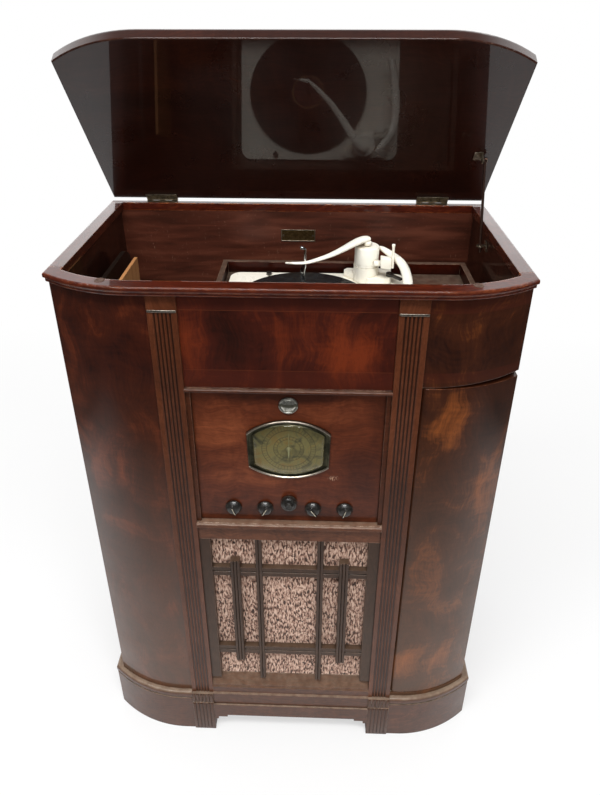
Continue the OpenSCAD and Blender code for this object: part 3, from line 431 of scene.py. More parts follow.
@dataclass(frozen=True)
class SawnWood:
    """Birch plywood and deal as sawn: pale, dry and matt, with fine streaks."""

    name: str
    dark: str = "#8a5f3c"
    light: str = "#c79a6b"
    grain: Way = Way.UPRIGHT
    stained: Band | None = None
    stain_light: str = "#5d3427"

    def make(self) -> bpy.types.Material:
        """Builds the material."""
        f = Finish(self.name)
        streaks = f.mottle(self.grain.sizes(3.0, 120.0), 4.0, 0.2)
        clouds = f.mottle((90.0,) * 3, 3.0, 0.4)
        tone = f.add("Mix", {0: 0.35, 2: streaks, 3: clouds})
        wood = f.add("ValToRGB", (tone,), stops=[(0.32, self.dark), (0.68, self.light)])
        rough: Socket | float = 0.75
        if self.stained:
            band = self.stained
            mask = f.between(band.way, band.low, band.high)
            mask = f.add("Math", (mask, band.share), **TIMES)
            nicks = f.mottle((1.6, 1.6, 16.0), 2.0, 2.0)
            thin = f.add("MapRange", (nicks, 0.7, 0.76))
            wear = f.add("MapRange", (thin, 0.0, 1.0, 0.0, 0.6))
            tones = [(0.25, "#22110b"), (0.5, band.colour), (0.8, self.stain_light)]
            stain = f.mottle((160.0, 160.0, 22.0), 5.0, 0.6)
            stain = f.add("ValToRGB", (stain,), stops=tones)
            stain = f.add("Mix", {0: wear, 6: stain, 7: "#b39279"}, 2, **COLOURS)
            wood = f.add("Mix", {0: mask, 6: wood, 7: stain}, 2, **COLOURS)
            rough = f.add("Mix", {0: mask, 2: rough, 3: 0.34})
        surface = {"Base Color": wood, "Roughness": rough, "Specular IOR Level": 0.3}
        surface["Normal"] = f.add("Bump", {"Height": streaks, "Distance": 0.04 * MM})
        return f.closed(f.add("BsdfPrincipled", surface))


class Sheen(Enum):
    """How a metal part was finished, with its roughness and the depth of its marks."""

    PLATED = (0.08, 0.0)
    LACQUERED = (0.3, 0.02)
    BRUSHED = (0.34, 0.05)


@dataclass(frozen=True)
class Metal:
    """A metal with its tarnish, which gathers in soft blotches and away from edges."""

    name: str
    bright: str
    tarnish: str
    sheen: Sheen
    tarnish_share: float = 0.5
    grit: float = 6.0  # mm, the size of the tarnish blotches
    bands: tuple[Band, ...] = ()

    def make(self) -> bpy.types.Material:
        """Builds the material."""
        f = Finish(self.name)
        rough, depth = self.sheen.value
        spread = f.add("MapRange", (f.mottle((self.grit,) * 3, 4.0, 0.6), 0.42, 0.6))
        edge, rounded = f.worn_edges(0.7)
        share = f.add("Math", (spread, self.tarnish_share), **TIMES)
        share = f.add("Math", (share, edge), **MINUS)
        colour = f.add("Mix", {0: share, 6: self.bright, 7: self.tarnish}, 2, **COLOURS)
        # Bands paint a stripe across the metal; on the badge it is a painted
        # reflection.
        for band in self.bands:
            mask = f.between(band.way, band.low, band.high)
            colour = f.add("Mix", {0: mask, 6: colour, 7: band.colour}, 2, **COLOURS)
        gloss = f.add("MapRange", (share, 0.0, 1.0, rough, rough + 0.25))
        marks = {"Height": f.mottle((0.8, 9.0, 0.8), 2.0), "Distance": depth * MM}
        surface = {"Base Color": colour, "Metallic": 1.0, "Roughness": gloss}
        surface["Normal"] = f.add("Bump", marks | {"Normal": rounded})
        return f.closed(f.add("BsdfPrincipled", surface))


@dataclass(frozen=True)
class Moulded:
    """A moulded or enamelled part: even and softly glossy, with grime from handling and
    painted shade in its corners.
    """

    name: str
    colour: str
    grime_and_shade: str
    roughness: float = 0.3
    coat: float = 0.3
    grime_share: float = 0.4
    speck: float = 30.0  # mm
    orange_peel: float = 0.02  # mm

    def make(self) -> bpy.types.Material:
        """Builds the material."""
        f = Finish(self.name)
        clouds = f.mottle((self.speck,) * 3, 4.0, 0.5)
        spread = f.add("MapRange", (clouds, 0.45, 0.7))
        _, rounded = f.worn_edges(0.9)
        # Corners are darkened toward the grime colour: painted shade where they are
        # hidden.
        hidden = f.add("AmbientOcclusion", {"Distance": 0.012}, "AO", samples=4)
        corner_shade = f.add("MapRange", (hidden, 0.75, 0.25))
        share = f.add("Math", (spread, self.grime_share), **TIMES)
        share = f.add("Math", (share, corner_shade), **LARGER)
        share = f.add("Math", (share, 0.8), **TIMES)
        colour = f.add("Mix", {0: share, 6: self.colour, 7: self.grime_and_shade}, 2, **COLOURS)
        gloss = (clouds, 0.3, 0.7, self.roughness, self.roughness + 0.15)
        peel = {"Height": f.mottle((3.0,) * 3, 2.0), "Distance": self.orange_peel * MM}
        surface = {"Base Color": colour, "Roughness": f.add("MapRange", gloss)}
        surface |= {"Coat Weight": self.coat, "Coat Roughness": 0.1}
        surface["Normal"] = f.add("Bump", peel | {"Normal": rounded})
        return f.closed(f.add("BsdfPrincipled", surface))


@dataclass(frozen=True)
class Shellac:
    """A pressed shellac record: black, with a groove that spreads light in a fan."""

    name: str
    centre: tuple[float, float]
    label: float = 38.0  # mm, the label's radius
    groove: float = 1.1  # mm between grooves, drawn at eight times the real spacing
    label_colour: str = "#4a1410"

    def make(self) -> bpy.types.Material:
        """Builds the material."""
        f = Finish(self.name)
        middle = spot(*self.centre, 0)
        lay = {"Vector": f.place, "Location": (-middle.x, -middle.y, 0.0)}
        flat = f.add("Mapping", lay | {"Scale": (1.0, 1.0, 0.0)})
        radius = f.add("VectorMath", (flat,), "Value", operation="LENGTH")
        count = 2 * math.pi / (self.groove * MM)
        turns = f.add("Math", (radius, count), operation="MULTIPLY")
        wave = f.add("Math", (turns,), operation="SINE")
        inside, ring, core = (
            f.add("Math", (radius, self.label * share * MM), **UNDER)
            for share in (1.0, 0.9, 0.86)
        )
        line = f.add("Math", (ring, core), **MINUS)
        # Blue-grey blotches: surface bloom on the shellac, with a painted sheen.
        bloom_and_sheen = f.add("MapRange", (f.mottle((18.0,) * 3, 5.0, 1.0), 0.4, 0.8))
        bloom_and_sheen = f.add("Math", (bloom_and_sheen, 0.4), **TIMES)
        black = f.add("Mix", {0: bloom_and_sheen, 6: "#141516", 7: "#44494a"}, 2, **COLOURS)
        paper = {0: line, 6: self.label_colour, 7: "#a98a4a"}
        both = {0: inside, 6: black, 7: f.add("Mix", paper, 2, **COLOURS)}
        outside = f.add("Math", (1.0, inside), **MINUS)
        grooves = f.add("Math", (wave, outside), operation="MULTIPLY")
        rough = f.add("MapRange", (inside, 0.0, 1.0, 0.24, 0.6))
        surface = {"Base Color": f.add("Mix", both, 2, **COLOURS), "Roughness": rough}
        surface |= {"Coat Weight": 0.4, "Coat Roughness": 0.2}
        surface["Normal"] = f.add("Bump", {"Height": grooves, "Distance": 0.16 * MM})
        return f.closed(f.add("BsdfPrincipled", surface))


@dataclass(frozen=True)
class SpeakerCloth:
    """Woven loudspeaker cloth: looped pink-brown threads over a dark open ground, with
    painted light and shade on the loops.
    """

    name: str
    thread: str = "#ae8875"
    shade_side: str = "#6f4c3c"
    gap_shade: str = "#2a160d"
    loop_highlight: str = "#e2c2ad"
    loop: Triple = (3.2, 3.2, 11.0)  # mm, one loop of the yarn

    def make(self) -> bpy.types.Material:
        """Builds the material."""
        f = Finish(self.name)
        loops = f.mottle(self.loop, 1.0, 0.5)
        fibres = f.mottle((0.9, 0.9, 3.0), 2.0)
        weave = f.add("Mix", {0: 0.16, 2: loops, 3: fibres})
        # The ramp paints the loops' light and shade: shaded gaps, a shade side, the
        # thread and a painted highlight on the loop tops.
        tones = [(0.38, self.gap_shade), (0.44, self.shade_side)]
        tones += [(0.49, self.thread), (0.62, self.loop_highlight)]
        cloth = f.add("ValToRGB", (weave,), stops=tones)
        hole = f.add("MapRange", (f.mottle((5.5, 5.5, 9.0), 1.0, 0.6), 0.66, 0.7))
        cloth = f.add("Mix", {0: hole, 6: cloth, 7: "#1a0d08"}, 2, **COLOURS)
        faded = f.add("Math", (f.mottle((90.0,) * 3, 2.0), 0.35), **TIMES)
        cloth = f.add("Mix", {0: faded, 6: cloth, 7: self.shade_side}, 2, **COLOURS)
        surface = {"Base Color": cloth, "Roughness": 0.9, "Specular IOR Level": 0.15}
        surface["Sheen Weight"] = 0.25
        surface["Normal"] = f.add("Bump", {"Height": weave, "Distance": 1.1 * MM})
        return f.closed(f.add("BsdfPrincipled", surface))


@dataclass(frozen=True)
class DialFace:
    """A printed dial behind glass: olive paper with rings and short marks between."""

    name: str
    middle: float = 790.0
    paper: str = "#6c6440"
    shade_side: str = "#413e2c"
    stain: str = "#705a30"
    ink: str = "#332e1c"
    rings: tuple[float, ...] = (20.0, 26.0, 38.0, 46.0)
    marks: int = 50

    def make(self) -> bpy.types.Material:
        """Builds the material."""
        f = Finish(self.name)
        x = f.axes[0]
        z = f.add("Math", (f.axes[2], self.middle * MM), operation="SUBTRACT")
        both = f.add("CombineXYZ", (x, z))
        radius = f.add("VectorMath", (both,), "Value", operation="LENGTH")
        angle = f.add("Math", (z, x), operation="ARCTAN2")
        ink: Socket | float = 0.0
        for size in self.rings:
            off = f.add("Math", (radius, size * MM, 0.0005), operation="COMPARE")
            ink = f.add("Math", (off, ink), **LARGER)
        for low, high, count in (
            (*self.rings[:2], self.marks), (*self.rings[2:], self.marks * 2)
        ):
            step = f.add("Math", (angle, count / 2), operation="MULTIPLY")
            wave = f.add("Math", (step,), operation="COSINE")
            tick = f.add("Math", (wave, 0.93), **OVER)
            over = f.add("Math", (radius, low * MM), **OVER)
            under = f.add("Math", (radius, high * MM), **UNDER)
            ring = f.add("Math", (over, under), **TIMES)
            tick = f.add("Math", (tick, ring), **TIMES)
            ink = f.add("Math", (ink, tick), **LARGER)
        tones = [(0.3, self.shade_side), (0.5, self.paper), (0.7, self.stain)]
        paper = f.add("ValToRGB", (f.mottle((22.0,) * 3, 5.0, 1.2),), stops=tones)
        ink = f.add("Math", (ink, 0.75), **TIMES)
        printed = f.add("Mix", {0: ink, 6: paper, 7: self.ink}, 2, **COLOURS)
        surface = {"Base Color": printed, "Roughness": 0.5, "Specular IOR Level": 0.3}
        return f.closed(f.add("BsdfPrincipled", surface))


@dataclass(frozen=True)
class WindowGlass:
    """Drawn sheet glass: clear, thin and slightly dusty, and open to shadow rays."""

    name: str

    def make(self) -> bpy.types.Material:
        """Builds the material."""
        f = Finish(self.name)
        surface = {"Base Color": "#f4f6ef", "Roughness": 0.03, "IOR": 1.5}
        waves = {"Height": f.mottle((25.0,) * 3, 1.0), "Distance": 0.05 * MM}
        surface |= {"Transmission Weight": 1.0, "Normal": f.add("Bump", waves)}
        glass = f.add("BsdfPrincipled", surface)
        shadow = f.add("LightPath", out="Is Shadow Ray")
        clear = f.add("BsdfTransparent")
        return f.closed(f.add("MixShader", (shadow, glass, clear)))


# The flame figure of the veneers, set where it glows and where it is dark.
LEFT_GLOWS = (
    Glow(-345, 40, 1000, (70, 200, 50), 0.05),
    Glow(-362, 60, 900, (50, 200, 190), 0.06),
    Glow(-335, 30, 760, (80, 200, 120), 0.24),
    Glow(-330, 30, 630, (90, 200, 90), 0.1),
    Glow(-250, 10, 980, (60, 200, 110), -0.12),
    Glow(-262, 10, 760, (70, 200, 90), -0.12),
)
RIGHT_GLOWS = (
    Glow(258, 10, 860, (60, 200, 100), 0.32),
    Glow(300, 20, 690, (80, 200, 60), 0.14),
    Glow(340, 40, 850, (40, 200, 100), -0.2),
    Glow(345, 40, 700, (50, 200, 160), 0.14),
    Glow(250, 10, 1000, (60, 200, 60), -0.16),
    Glow(330, 40, 1000, (70, 200, 60), -0.12),
    Glow(280, 20, 240, (100, 200, 80), 0.18),
)
PANEL_GLOWS = (
    Glow(105, 4, 1000, (70, 200, 80), 0.3),
    Glow(15, 4, 1010, (70, 200, 80), 0.16),
    Glow(-85, 4, 1010, (60, 200, 80), -0.16),
    Glow(-150, 4, 990, (50, 200, 80), 0.16),
)
FASCIA_GLOWS = (
    Glow(-120, 10, 830, (60, 200, 80), 0.24),
    Glow(-70, 10, 730, (90, 200, 40), 0.16),
    Glow(130, 10, 740, (60, 200, 110), -0.22),
    Glow(0, 10, 650, (200, 200, 30), -0.24),
    Glow(0, 10, 905, (170, 200, 26), -0.3),
    Glow(150, 10, 860, (40, 200, 90), -0.14),
)
CROSS_BAND = "#4a1d12"
STRINGING = "#64301b"
WELL_SHADE = "#15100d"
CHIP = Glow(78, 10, 729, (13, 30, 8), 1.0)
DOOR_BANDS = (
    Band(Way.UPRIGHT, 1061.0, 1090.0, CROSS_BAND, 0.7),
    Band(Way.UPRIGHT, 936.0, 955.0, CROSS_BAND, 0.5),
)
PANEL_BANDS = (
    Band(Way.UPRIGHT, 1063.5, 1090.0, CROSS_BAND, 0.8),
    Band(Way.UPRIGHT, 921.0, 953.5, CROSS_BAND, 0.6),
    Band(Way.UPRIGHT, 1061.2, 1062.8, STRINGING, 0.8),
    Band(Way.UPRIGHT, 953.7, 955.0, STRINGING, 0.8),
)
# The faces inside the well are darkened near-black: painted shade.
IN_WELL = Band(Way.SIDEWAYS, -360.4, 360.4, WELL_SHADE, 0.9)
IN_RIM = Band(Way.SIDEWAYS, -356.7, 356.7, WELL_SHADE, 0.8)

# Flame veneer: it glows like embers where the crotch was cut, under a deep polish.
FLAME_LEFT = PolishedMahogany(
    "flame mahogany veneer, left", "#1b0805", "#3a160a", "#6b3017",
    glows=LEFT_GLOWS, figure_share=0.7,
)
FLAME_RIGHT = PolishedMahogany(
    "flame mahogany veneer, right", "#1d0a05", "#3b1b0c", "#85481f",
    glows=RIGHT_GLOWS, figure_share=0.7, coat=0.45, bands=DOOR_BANDS,
)
UPPER_PANEL = PolishedMahogany(
    "flame mahogany veneer, upper panel", "#1f0a05", "#3b140a", "#672810",
    glows=PANEL_GLOWS, bands=PANEL_BANDS,
)
# Plain veneer: quieter, with level grain, rubbed dull round the controls.
FASCIA = PolishedMahogany(
    "mahogany veneer, radio panel", "#3a190c", "#552714", "#7d4226",
    floor_light_share=0.0, grain=Way.SIDEWAYS, figure=60.0, figure_share=0.55, groove=5.0,
    glows=FASCIA_GLOWS, chips=(CHIP,), coat=0.5, coat_roughness=0.14,
)
SIDES = PolishedMahogany(
    "mahogany veneer, sides", "#1d0b06", "#3a1a10", "#5f3220", bands=(IN_WELL,)
)
LID = PolishedMahogany(
    "mahogany veneer, lid", "#1b0a06", "#2c130c", "#452013",
    floor_light_share=0.0, grain=Way.SIDEWAYS, figure=200.0, worn="#8c6a55", wear=0.8,
    arris=2.0, roughness=0.3, coat=0.7, coat_roughness=0.025,
)
# Solid wood: straighter grain, rubbed pale on its arrises with a painted highlight,
# and dark in its grooves with dirt and painted shade.
PILASTER = PolishedMahogany(
    "solid mahogany, reeded", "#371a0e", "#522a17", "#724129",
    floor_light_share=0.3, figure=160.0, figure_share=0.6, line=2.5, flutes=Flutes(),
    worn="#9a6c52", wear=0.45, arris=0.7, coat=0.42, coat_roughness=0.16,
)
MOULDING = PolishedMahogany(
    "solid mahogany, run mouldings", "#2b150c", "#482617", "#6a3f29",
    floor_light_share=0.25, grain=Way.SIDEWAYS, figure_share=0.3, line=3.5, worn="#a5826a",
    wear=0.8, dust_and_sheen=0.7, groove=7.0, coat=0.45, coat_roughness=0.15,
)
SHELF = PolishedMahogany(
    "solid mahogany, shelf rail", "#3a1e12", "#5c3522", "#7b4c34",
    floor_light_share=0.2, grain=Way.SIDEWAYS, figure_share=0.4, line=3.5, worn="#c2a78f",
    wear=1.0, arris=1.2, dust_and_sheen=0.3, groove=7.0, coat=0.35, coat_roughness=0.18,
)
LIP = PolishedMahogany(
    "solid mahogany, lip mouldings", "#2b150c", "#432010", "#5f3320",
    floor_light_share=0.2, grain=Way.SIDEWAYS, figure_share=0.3, line=3.5, worn="#a07a63",
    wear=0.7, dust_and_sheen=0.1, groove=5.0, coat=0.35, coat_roughness=0.2,
)
REED = PolishedMahogany(
    "solid mahogany, reeds", "#2b150c", "#3f2114", "#5c3522",
    floor_light_share=0.35, figure_share=0.3, line=2.5, worn="#8d6f5a", wear=0.5, arris=0.6,
    groove=4.0, coat=0.4, coat_roughness=0.18,
)
RIM = PolishedMahogany(
    "solid mahogany, rim", "#2a0d06", "#47190d", "#6f3018",
    grain=Way.SIDEWAYS, figure_share=0.35, worn="#c26d38", wear=1.0, arris=3.4,
    coat_roughness=0.05,
)
RIM_SIDE = PolishedMahogany(
    "solid mahogany, rim sides", "#2a0d06", "#47190d", "#6f3018",
    grain=Way.INWARD, figure_share=0.35, bands=(IN_RIM,), worn="#a8673f", wear=0.6,
    arris=2.4, coat=1.0, coat_roughness=0.06,
)
FRET = PolishedMahogany(
    "solid mahogany, grille", "#1c110b", "#2f1d14", "#463025",
    floor_light_share=0.5, figure_share=0.2, line=5.0, worn="#8a6f5d", wear=0.8, arris=0.9,
    dust_and_sheen=0.12, groove=6.0, coat=0.28, coat_roughness=0.2,
)
DECK = PolishedMahogany(
    "mahogany, deck box", "#1a0501", "#310b03", "#4a1507",
    grain=Way.SIDEWAYS, worn="#a5856c", wear=0.9, dust_and_sheen=0.25, groove=25.0, coat=0.12,
    coat_roughness=0.15,
)
# Plywood: dry and pale where it is bare, and brown and slightly shiny where stained.
BACK_BOARD = SawnWood(
    "birch plywood, back",
    stained=Band(Way.INWARD, 384.0, 392.0, "#482419"),
    stain_light="#683b2b",
)
STAINED_PLY = SawnWood(
    "stained plywood, well",
    grain=Way.SIDEWAYS,
    stained=Band(Way.UPRIGHT, 0.0, 2000.0, "#1f100b"),
    stain_light="#39211a",
)
RACK_WOOD = SawnWood(
    "plywood, record rack",
    "#8a5a33",
    "#bd8655",
    stained=Band(Way.SIDEWAYS, -345.0, -320.0, "#17100c"),
    stain_light="#2c221d",
)
BARE_WOOD = SawnWood("birch plywood, bare", grain=Way.SIDEWAYS)
# Metals: the old brass and bronze are brown and soft, and only the plating is bright.
BRASS = Metal("brass, dulled", "#a89c88", "#4a4136", Sheen.BRUSHED, 0.6, 9.0)
PLATE_FACE = Metal("brass plate, blackened", "#8a7048", "#4a3c28", Sheen.BRUSHED, 0.6)
COPPERED = Metal(
    "coppered steel, dulled", "#6b5147", "#1d1613", Sheen.BRUSHED, 0.6, 25.0
)
BRONZE = Metal("bronze, antiqued", "#565040", "#25221a", Sheen.LACQUERED, 0.9, 30.0)
BLACKENED = Metal("bronze, blackened", "#5a5745", "#2b2a20", Sheen.LACQUERED, 0.7, 18.0)
SILVERED = Metal("silvered brass", "#c9bdae", "#6b6458", Sheen.LACQUERED, 0.4, 5.0)
# A darker band across the badge: a painted reflection of the dim room.
BADGE_REFLECTION_BAND = Band(Way.UPRIGHT, 882.5, 888.0, "#7a786a")
BADGE = Metal(
    "silvered badge, worn", "#dcdad0", "#6a6a5e", Sheen.BRUSHED, 0.7, 3.0, (BADGE_REFLECTION_BAND,)
)
NICKEL = Metal("nickel silver strip", "#a89f92", "#4e443a", Sheen.BRUSHED, 0.7, 3.0)
CHROME = Metal("chromium plate", "#d9dadb", "#7d7f80", Sheen.PLATED, 0.2, 8.0)
STEEL = Metal(
    "sheet steel, zinc plated", "#9a9c9e", "#55585a", Sheen.BRUSHED, 0.5, 12.0
)
# Enamel, plastics, paint and rubber: even colours, with grime where they are handled.
CRACKLE = Moulded("black japanned steel", "#17181a", "#2c2b28", 0.5, 0.1, 0.3, 12.0)
ENAMEL = Moulded("cream stoved enamel", "#fdf8ea", "#c4b48e", 0.22, 0.5, 0.15, 40.0)
PLASTIC = Moulded("ivory moulded plastic", "#fdf9ec", "#b5a585", 0.26, 0.4, 0.12)
BAKELITE = Moulded("brown phenolic, moulded", "#1f1411", "#4a3c35", 0.22, 0.8, 0.4, 9.0)
NEEDLE_PAINT = Moulded("olive paint", "#8f8c68", "#6a6749", 0.5, 0.1, 0.4, 5.0)
POINTER_PAINT = Moulded("cream paint", "#cfc5ae", "#8a7d68", 0.5, 0.1, 0.4, 5.0)
FADED_PAINT = Moulded("faded paint", "#6f6a47", "#565138", 0.5, 0.1, 0.5, 5.0)
BLACK_KNOB = Moulded("black urea knob", "#141210", "#4b463f", 0.36, 0.4, 0.5, 5.0)
FELT = Moulded("brown rubber buffer", "#4a3227", "#7b6455", 0.6, 0.0, 0.5, 5.0, 0.05)
RECORD = Shellac("pressed shellac record", (20.0, 168.0))
CLOTH = SpeakerCloth("loudspeaker cloth")
DIAL = DialFace("printed dial")
GLASS = WindowGlass("dial glass")

NODE_FINISHES: dict[object, str] = {
    SIDES: "side_left side_right",
    FLAME_LEFT: "curved_panel_left",
    FLAME_RIGHT: "curved_panel_right record_door",
    UPPER_PANEL: "upper_front_panel",
    FASCIA: "radio_fascia",
    PILASTER: "pilaster_left pilaster_right",
    LIP: "fascia_moulding",
    SHELF: "shelf_rail",
    MOULDING: "lower_rail plinth_left plinth_right plinth_apron",
    RIM: "rim_front_rail rim_back_rail",
    RIM_SIDE: "rim_left rim_right",
    FRET: "grille_fret",
    LID: "lid",
    DECK: "deck_box motor_board",
    BACK_BOARD: "back_panel",
    STAINED_PLY: "well_floor",
    RACK_WOOD: "record_rack",
    BARE_WOOD: "bottom_board partition_left partition_right chassis_shelf baffle_board",
    BRASS: "hinge_leaves_case hinge_leaves_lid stay_bracket stay_guide door_pivots",
    COPPERED: "stay_rod",
    FADED_PAINT: "dial_pointer",
    BRONZE: "dial_escutcheon",
    CHROME: "spindle",
    STEEL: "radio_chassis",
    CRACKLE: "loudspeaker motor turntable",
    ENAMEL: "deck_plate arm_base",
    PLASTIC: "steady_arm pickup_turret pickup_arm",
    BAKELITE: "tuning_knob volume_knob tone_knob wave_knob selector_knob",
    BLACK_KNOB: "reject_lever speed_knob",
    RECORD: "disc",
    CLOTH: "grille_cloth",
    DIAL: "dial_plate",
    GLASS: "dial_glass",
}
_made: dict[object, bpy.types.Material] = {}


def material_of(finish: object) -> bpy.types.Material:
    """Returns a finish's material, which is built the first time it is asked for."""
    if finish not in _made:
        _made[finish] = finish.make()
    return _made[finish]


# ---- Bench ---------------------------------------------------------------------


class Workpiece:
    """One mesh on the bench: a primitive that edit-mode operators shape."""

    def __init__(self, name: str) -> None:
        """Takes the primitive that was just added."""
        self.body = bpy.context.object
        self.body.name = name
        self.body.data.name = name
        bpy.ops.object.transform_apply(location=True, rotation=True, scale=True)

    @classmethod
    def bar(cls, name: str, low: Vector, high: Vector) -> "Workpiece":
        """Starts from a bar between its lowest and its highest corner in the frame."""
        bpy.ops.object.select_all(action="DESELECT")
        bpy.ops.mesh.primitive_cube_add(
            size=1.0, location=(low + high) / 2, scale=high - low
        )
        return cls(name)

    @classmethod
    def turned(
        cls,
        name: str,
        profile: Profile,
        seat: Vector = ORIGIN,
        tilt: Triple = (0.0, 0.0, 0.0),
        segments: int = 48,
    ) -> "Workpiece":
        """Turns a piece ring by ring, as on a lathe.

        Args:
            name: The piece's name.
            profile: Radius and height of each ring, in millimetres, from the seat up.
            seat: Place of the profile's zero height in the frame.
            tilt: Turns about x, y and z that lay the axis down.
            segments: Number of sides.

        Returns:
            The piece.
        """
        bpy.ops.object.select_all(action="DESELECT")
        radius, height = profile[0]
        at = (0, 0, height * MM)
        bpy.ops.mesh.primitive_circle_add(
            vertices=segments, radius=radius * MM, fill_type="NGON", location=at
        )
        piece = cls(name).opened()
        for (radius, height), (wider, higher) in zip(profile, profile[1:]):
            piece.extrude((0, 0, (higher - height) * MM))
            grow = wider / radius
            piece.resize((grow, grow, 1.0), (0, 0, higher * MM))
        piece.sealed()
        piece.body.rotation_euler = tilt
        piece.body.location = seat
        bpy.ops.object.transform_apply(location=True, rotation=True, scale=True)
        return piece

    @classmethod
    def swept(
        cls,
        name: str,
        stations: Sequence[tuple[float, float, float, float]],
        flat: float,
        segments: int = 12,
    ) -> "Workpiece":
        """Draws a flattened round bar along a path, a ring at a time.

        Args:
            name: The piece's name.
            stations: Place in the layout and half-width of each ring, in millimetres.
            flat: Height of the section as a share of its width.
            segments: Number of sides.

        Returns:
            The piece.
        """
        places = [spot(x, y, z) for x, y, z, _ in stations]
        steps = [b - a for a, b in zip(places, places[1:])]
        heads = [math.atan2(step.y, step.x) for step in steps]
        bends = [heads[0]] + [(a + b) / 2 for a, b in zip(heads, heads[1:])]
        bends.append(heads[-1])
        bpy.ops.object.select_all(action="DESELECT")
        bpy.ops.mesh.primitive_circle_add(
            vertices=segments, radius=stations[0][3] * MM, fill_type="NGON"
        )
        ring = bpy.context.object
        ring.scale = (flat, 1.0, 1.0)
        bpy.ops.object.transform_apply(location=False, rotation=False, scale=True)
        ring.rotation_euler = (0.0, RIGHT_ANGLE, 0.0)
        bpy.ops.object.transform_apply(location=False, rotation=True, scale=False)
        ring.rotation_euler = (0.0, 0.0, bends[0])
        ring.location = places[0]
        piece = cls(name).opened()
        for i, step in enumerate(steps):
            piece.extrude(step)
            shape = bmesh.from_edit_mesh(piece.body.data)
            front = [v for v in shape.verts if v.select]
            bmesh.ops.rotate(
                shape,
                cent=places[i + 1],
                matrix=Matrix.Rotation(bends[i + 1] - bends[i], 3, "Z"),
                verts=front,
            )
            bmesh.update_edit_mesh(piece.body.data)
            wider = stations[i + 1][3] / stations[i][3]
            piece.resize((wider, wider, wider), places[i + 1])
        return piece.sealed()

    def opened(self) -> "Workpiece":
        """Opens a new piece in edit mode with everything selected."""
        bpy.ops.object.mode_set(mode="EDIT")
        bpy.ops.mesh.select_all(action="SELECT")
        return self

    def sealed(self) -> "Workpiece":
        """Turns all normals outward and leaves edit mode."""
        bpy.ops.mesh.select_all(action="SELECT")
        bpy.ops.mesh.normals_make_consistent(inside=False)
        self.close()
        return self

    def joined(self, *others: "Workpiece") -> "Workpiece":
        """Joins other pieces into this one."""
        self.close()
        bpy.ops.object.select_all(action="DESELECT")
        for other in others:
            other.close()
            other.body.select_set(True)
        self.body.select_set(True)
        bpy.context.view_layer.objects.active = self.body
        bpy.ops.object.join()
        return self

    def pick(self, test: Test) -> "Workpiece":
        """Selects the faces that pass a test of their middle and their normal."""
        self.edit()
        shape = bmesh.from_edit_mesh(self.body.data)
        for face in shape.faces:
            face.select_set(test(face.calc_center_median(), face.normal))
        shape.select_flush_mode()
        bmesh.update_edit_mesh(self.body.data)
        return self

    def edit(self) -> None:
        """Opens the piece in edit mode with nothing selected, in face mode."""
        if self.body.mode != "EDIT":
            bpy.context.view_layer.objects.active = self.body
            bpy.ops.object.mode_set(mode="EDIT")
        bpy.ops.mesh.select_mode(type="FACE")
        bpy.ops.mesh.select_all(action="DESELECT")

    def resize(self, scale: Triple, centre: Sequence[float]) -> "Workpiece":
        """Scales what is selected about a centre."""
        bpy.ops.transform.resize(value=scale, center_override=centre)
        return self

    def extrude(self, move: Sequence[float]) -> "Workpiece":
        """Extrudes what is selected by a move."""
        bpy.ops.mesh.extrude_region_move(TRANSFORM_OT_translate={"value": move})
        return self

    def inset(self, width: float, depth: float = 0.0) -> "Workpiece":
        """Insets what is selected by a width and a depth in millimetres."""
        bpy.ops.mesh.inset(thickness=width * MM, depth=depth * MM)
        return self

    def soften(self, width: float, segments: int = 2, angle: float = 30) -> "Workpiece":
        """Rounds the edges that are sharper than an angle, by a Bevel modifier."""
        turn = math.radians(angle)
        cut = {"width": width * MM, "segments": segments, "limit_method": "ANGLE"}
        return self.modified("BEVEL", angle_limit=turn, **cut)

    def smooth(self, levels: int) -> "Workpiece":
        """Smooths the piece by a Subdivision Surface modifier of some levels."""
        return self.modified("SUBSURF", levels=levels, render_levels=levels)

    def modified(self, kind: str, **settings: object) -> "Workpiece":
        """Applies a modifier with its settings."""
        self.close()
        modifier = self.body.modifiers.new(kind, kind)
        for option, value in settings.items():
            setattr(modifier, option, value)
        bpy.context.view_layer.objects.active = self.body
        bpy.ops.object.modifier_apply(modifier=modifier.name)
        return self

    def close(self) -> None:
        """Leaves edit mode."""
        if self.body.mode == "EDIT":
            bpy.ops.object.mode_set(mode="OBJECT")

    def slotted(self, width: float, depth: float, normal: Vector) -> "Workpiece":
        """Cuts a screwdriver slot across the head of a screw that stands at the origin.

        Args:
            width: Width of the slot in millimetres.
            depth: Depth of the slot in millimetres.
            normal: Direction in which the head faces.

        Returns:
            The piece.
        """
        self.edit()
        for side in (-1, 1):
            bpy.ops.mesh.select_all(action="SELECT")
            bpy.ops.mesh.bisect(
                plane_co=(side * width * MM / 2, 0, 0), plane_no=(1, 0, 0)
            )
        reach = width * MM / 2
        self.pick(lambda c, n: abs(c.x) < reach and n.dot(normal) > 0.9)
        self.extrude(-normal * depth * MM).close()
        return self

    def copies(self, places: Sequence[Matrix]) -> "Workpiece":
        """Copies the piece to several places and joins the copies into one mesh.

        Args:
            places: A transform for each copy.

        Returns:
            The joined piece, which keeps this one's name.
        """
        self.close()
        made = []
        for place in places:
            copy = self.body.copy()
            copy.data = self.body.data.copy()
            copy.data.transform(place)
            bpy.context.scene.collection.objects.link(copy)
            made.append(copy)
        name = self.body.name
        bpy.data.objects.remove(self.body)
        bpy.ops.object.select_all(action="DESELECT")
        for copy in made:
            copy.select_set(True)
        bpy.context.view_layer.objects.active = made[0]
        if len(made) > 1:
            bpy.ops.object.join()
        self.body = bpy.context.view_layer.objects.active
        self.body.name = name
        return self

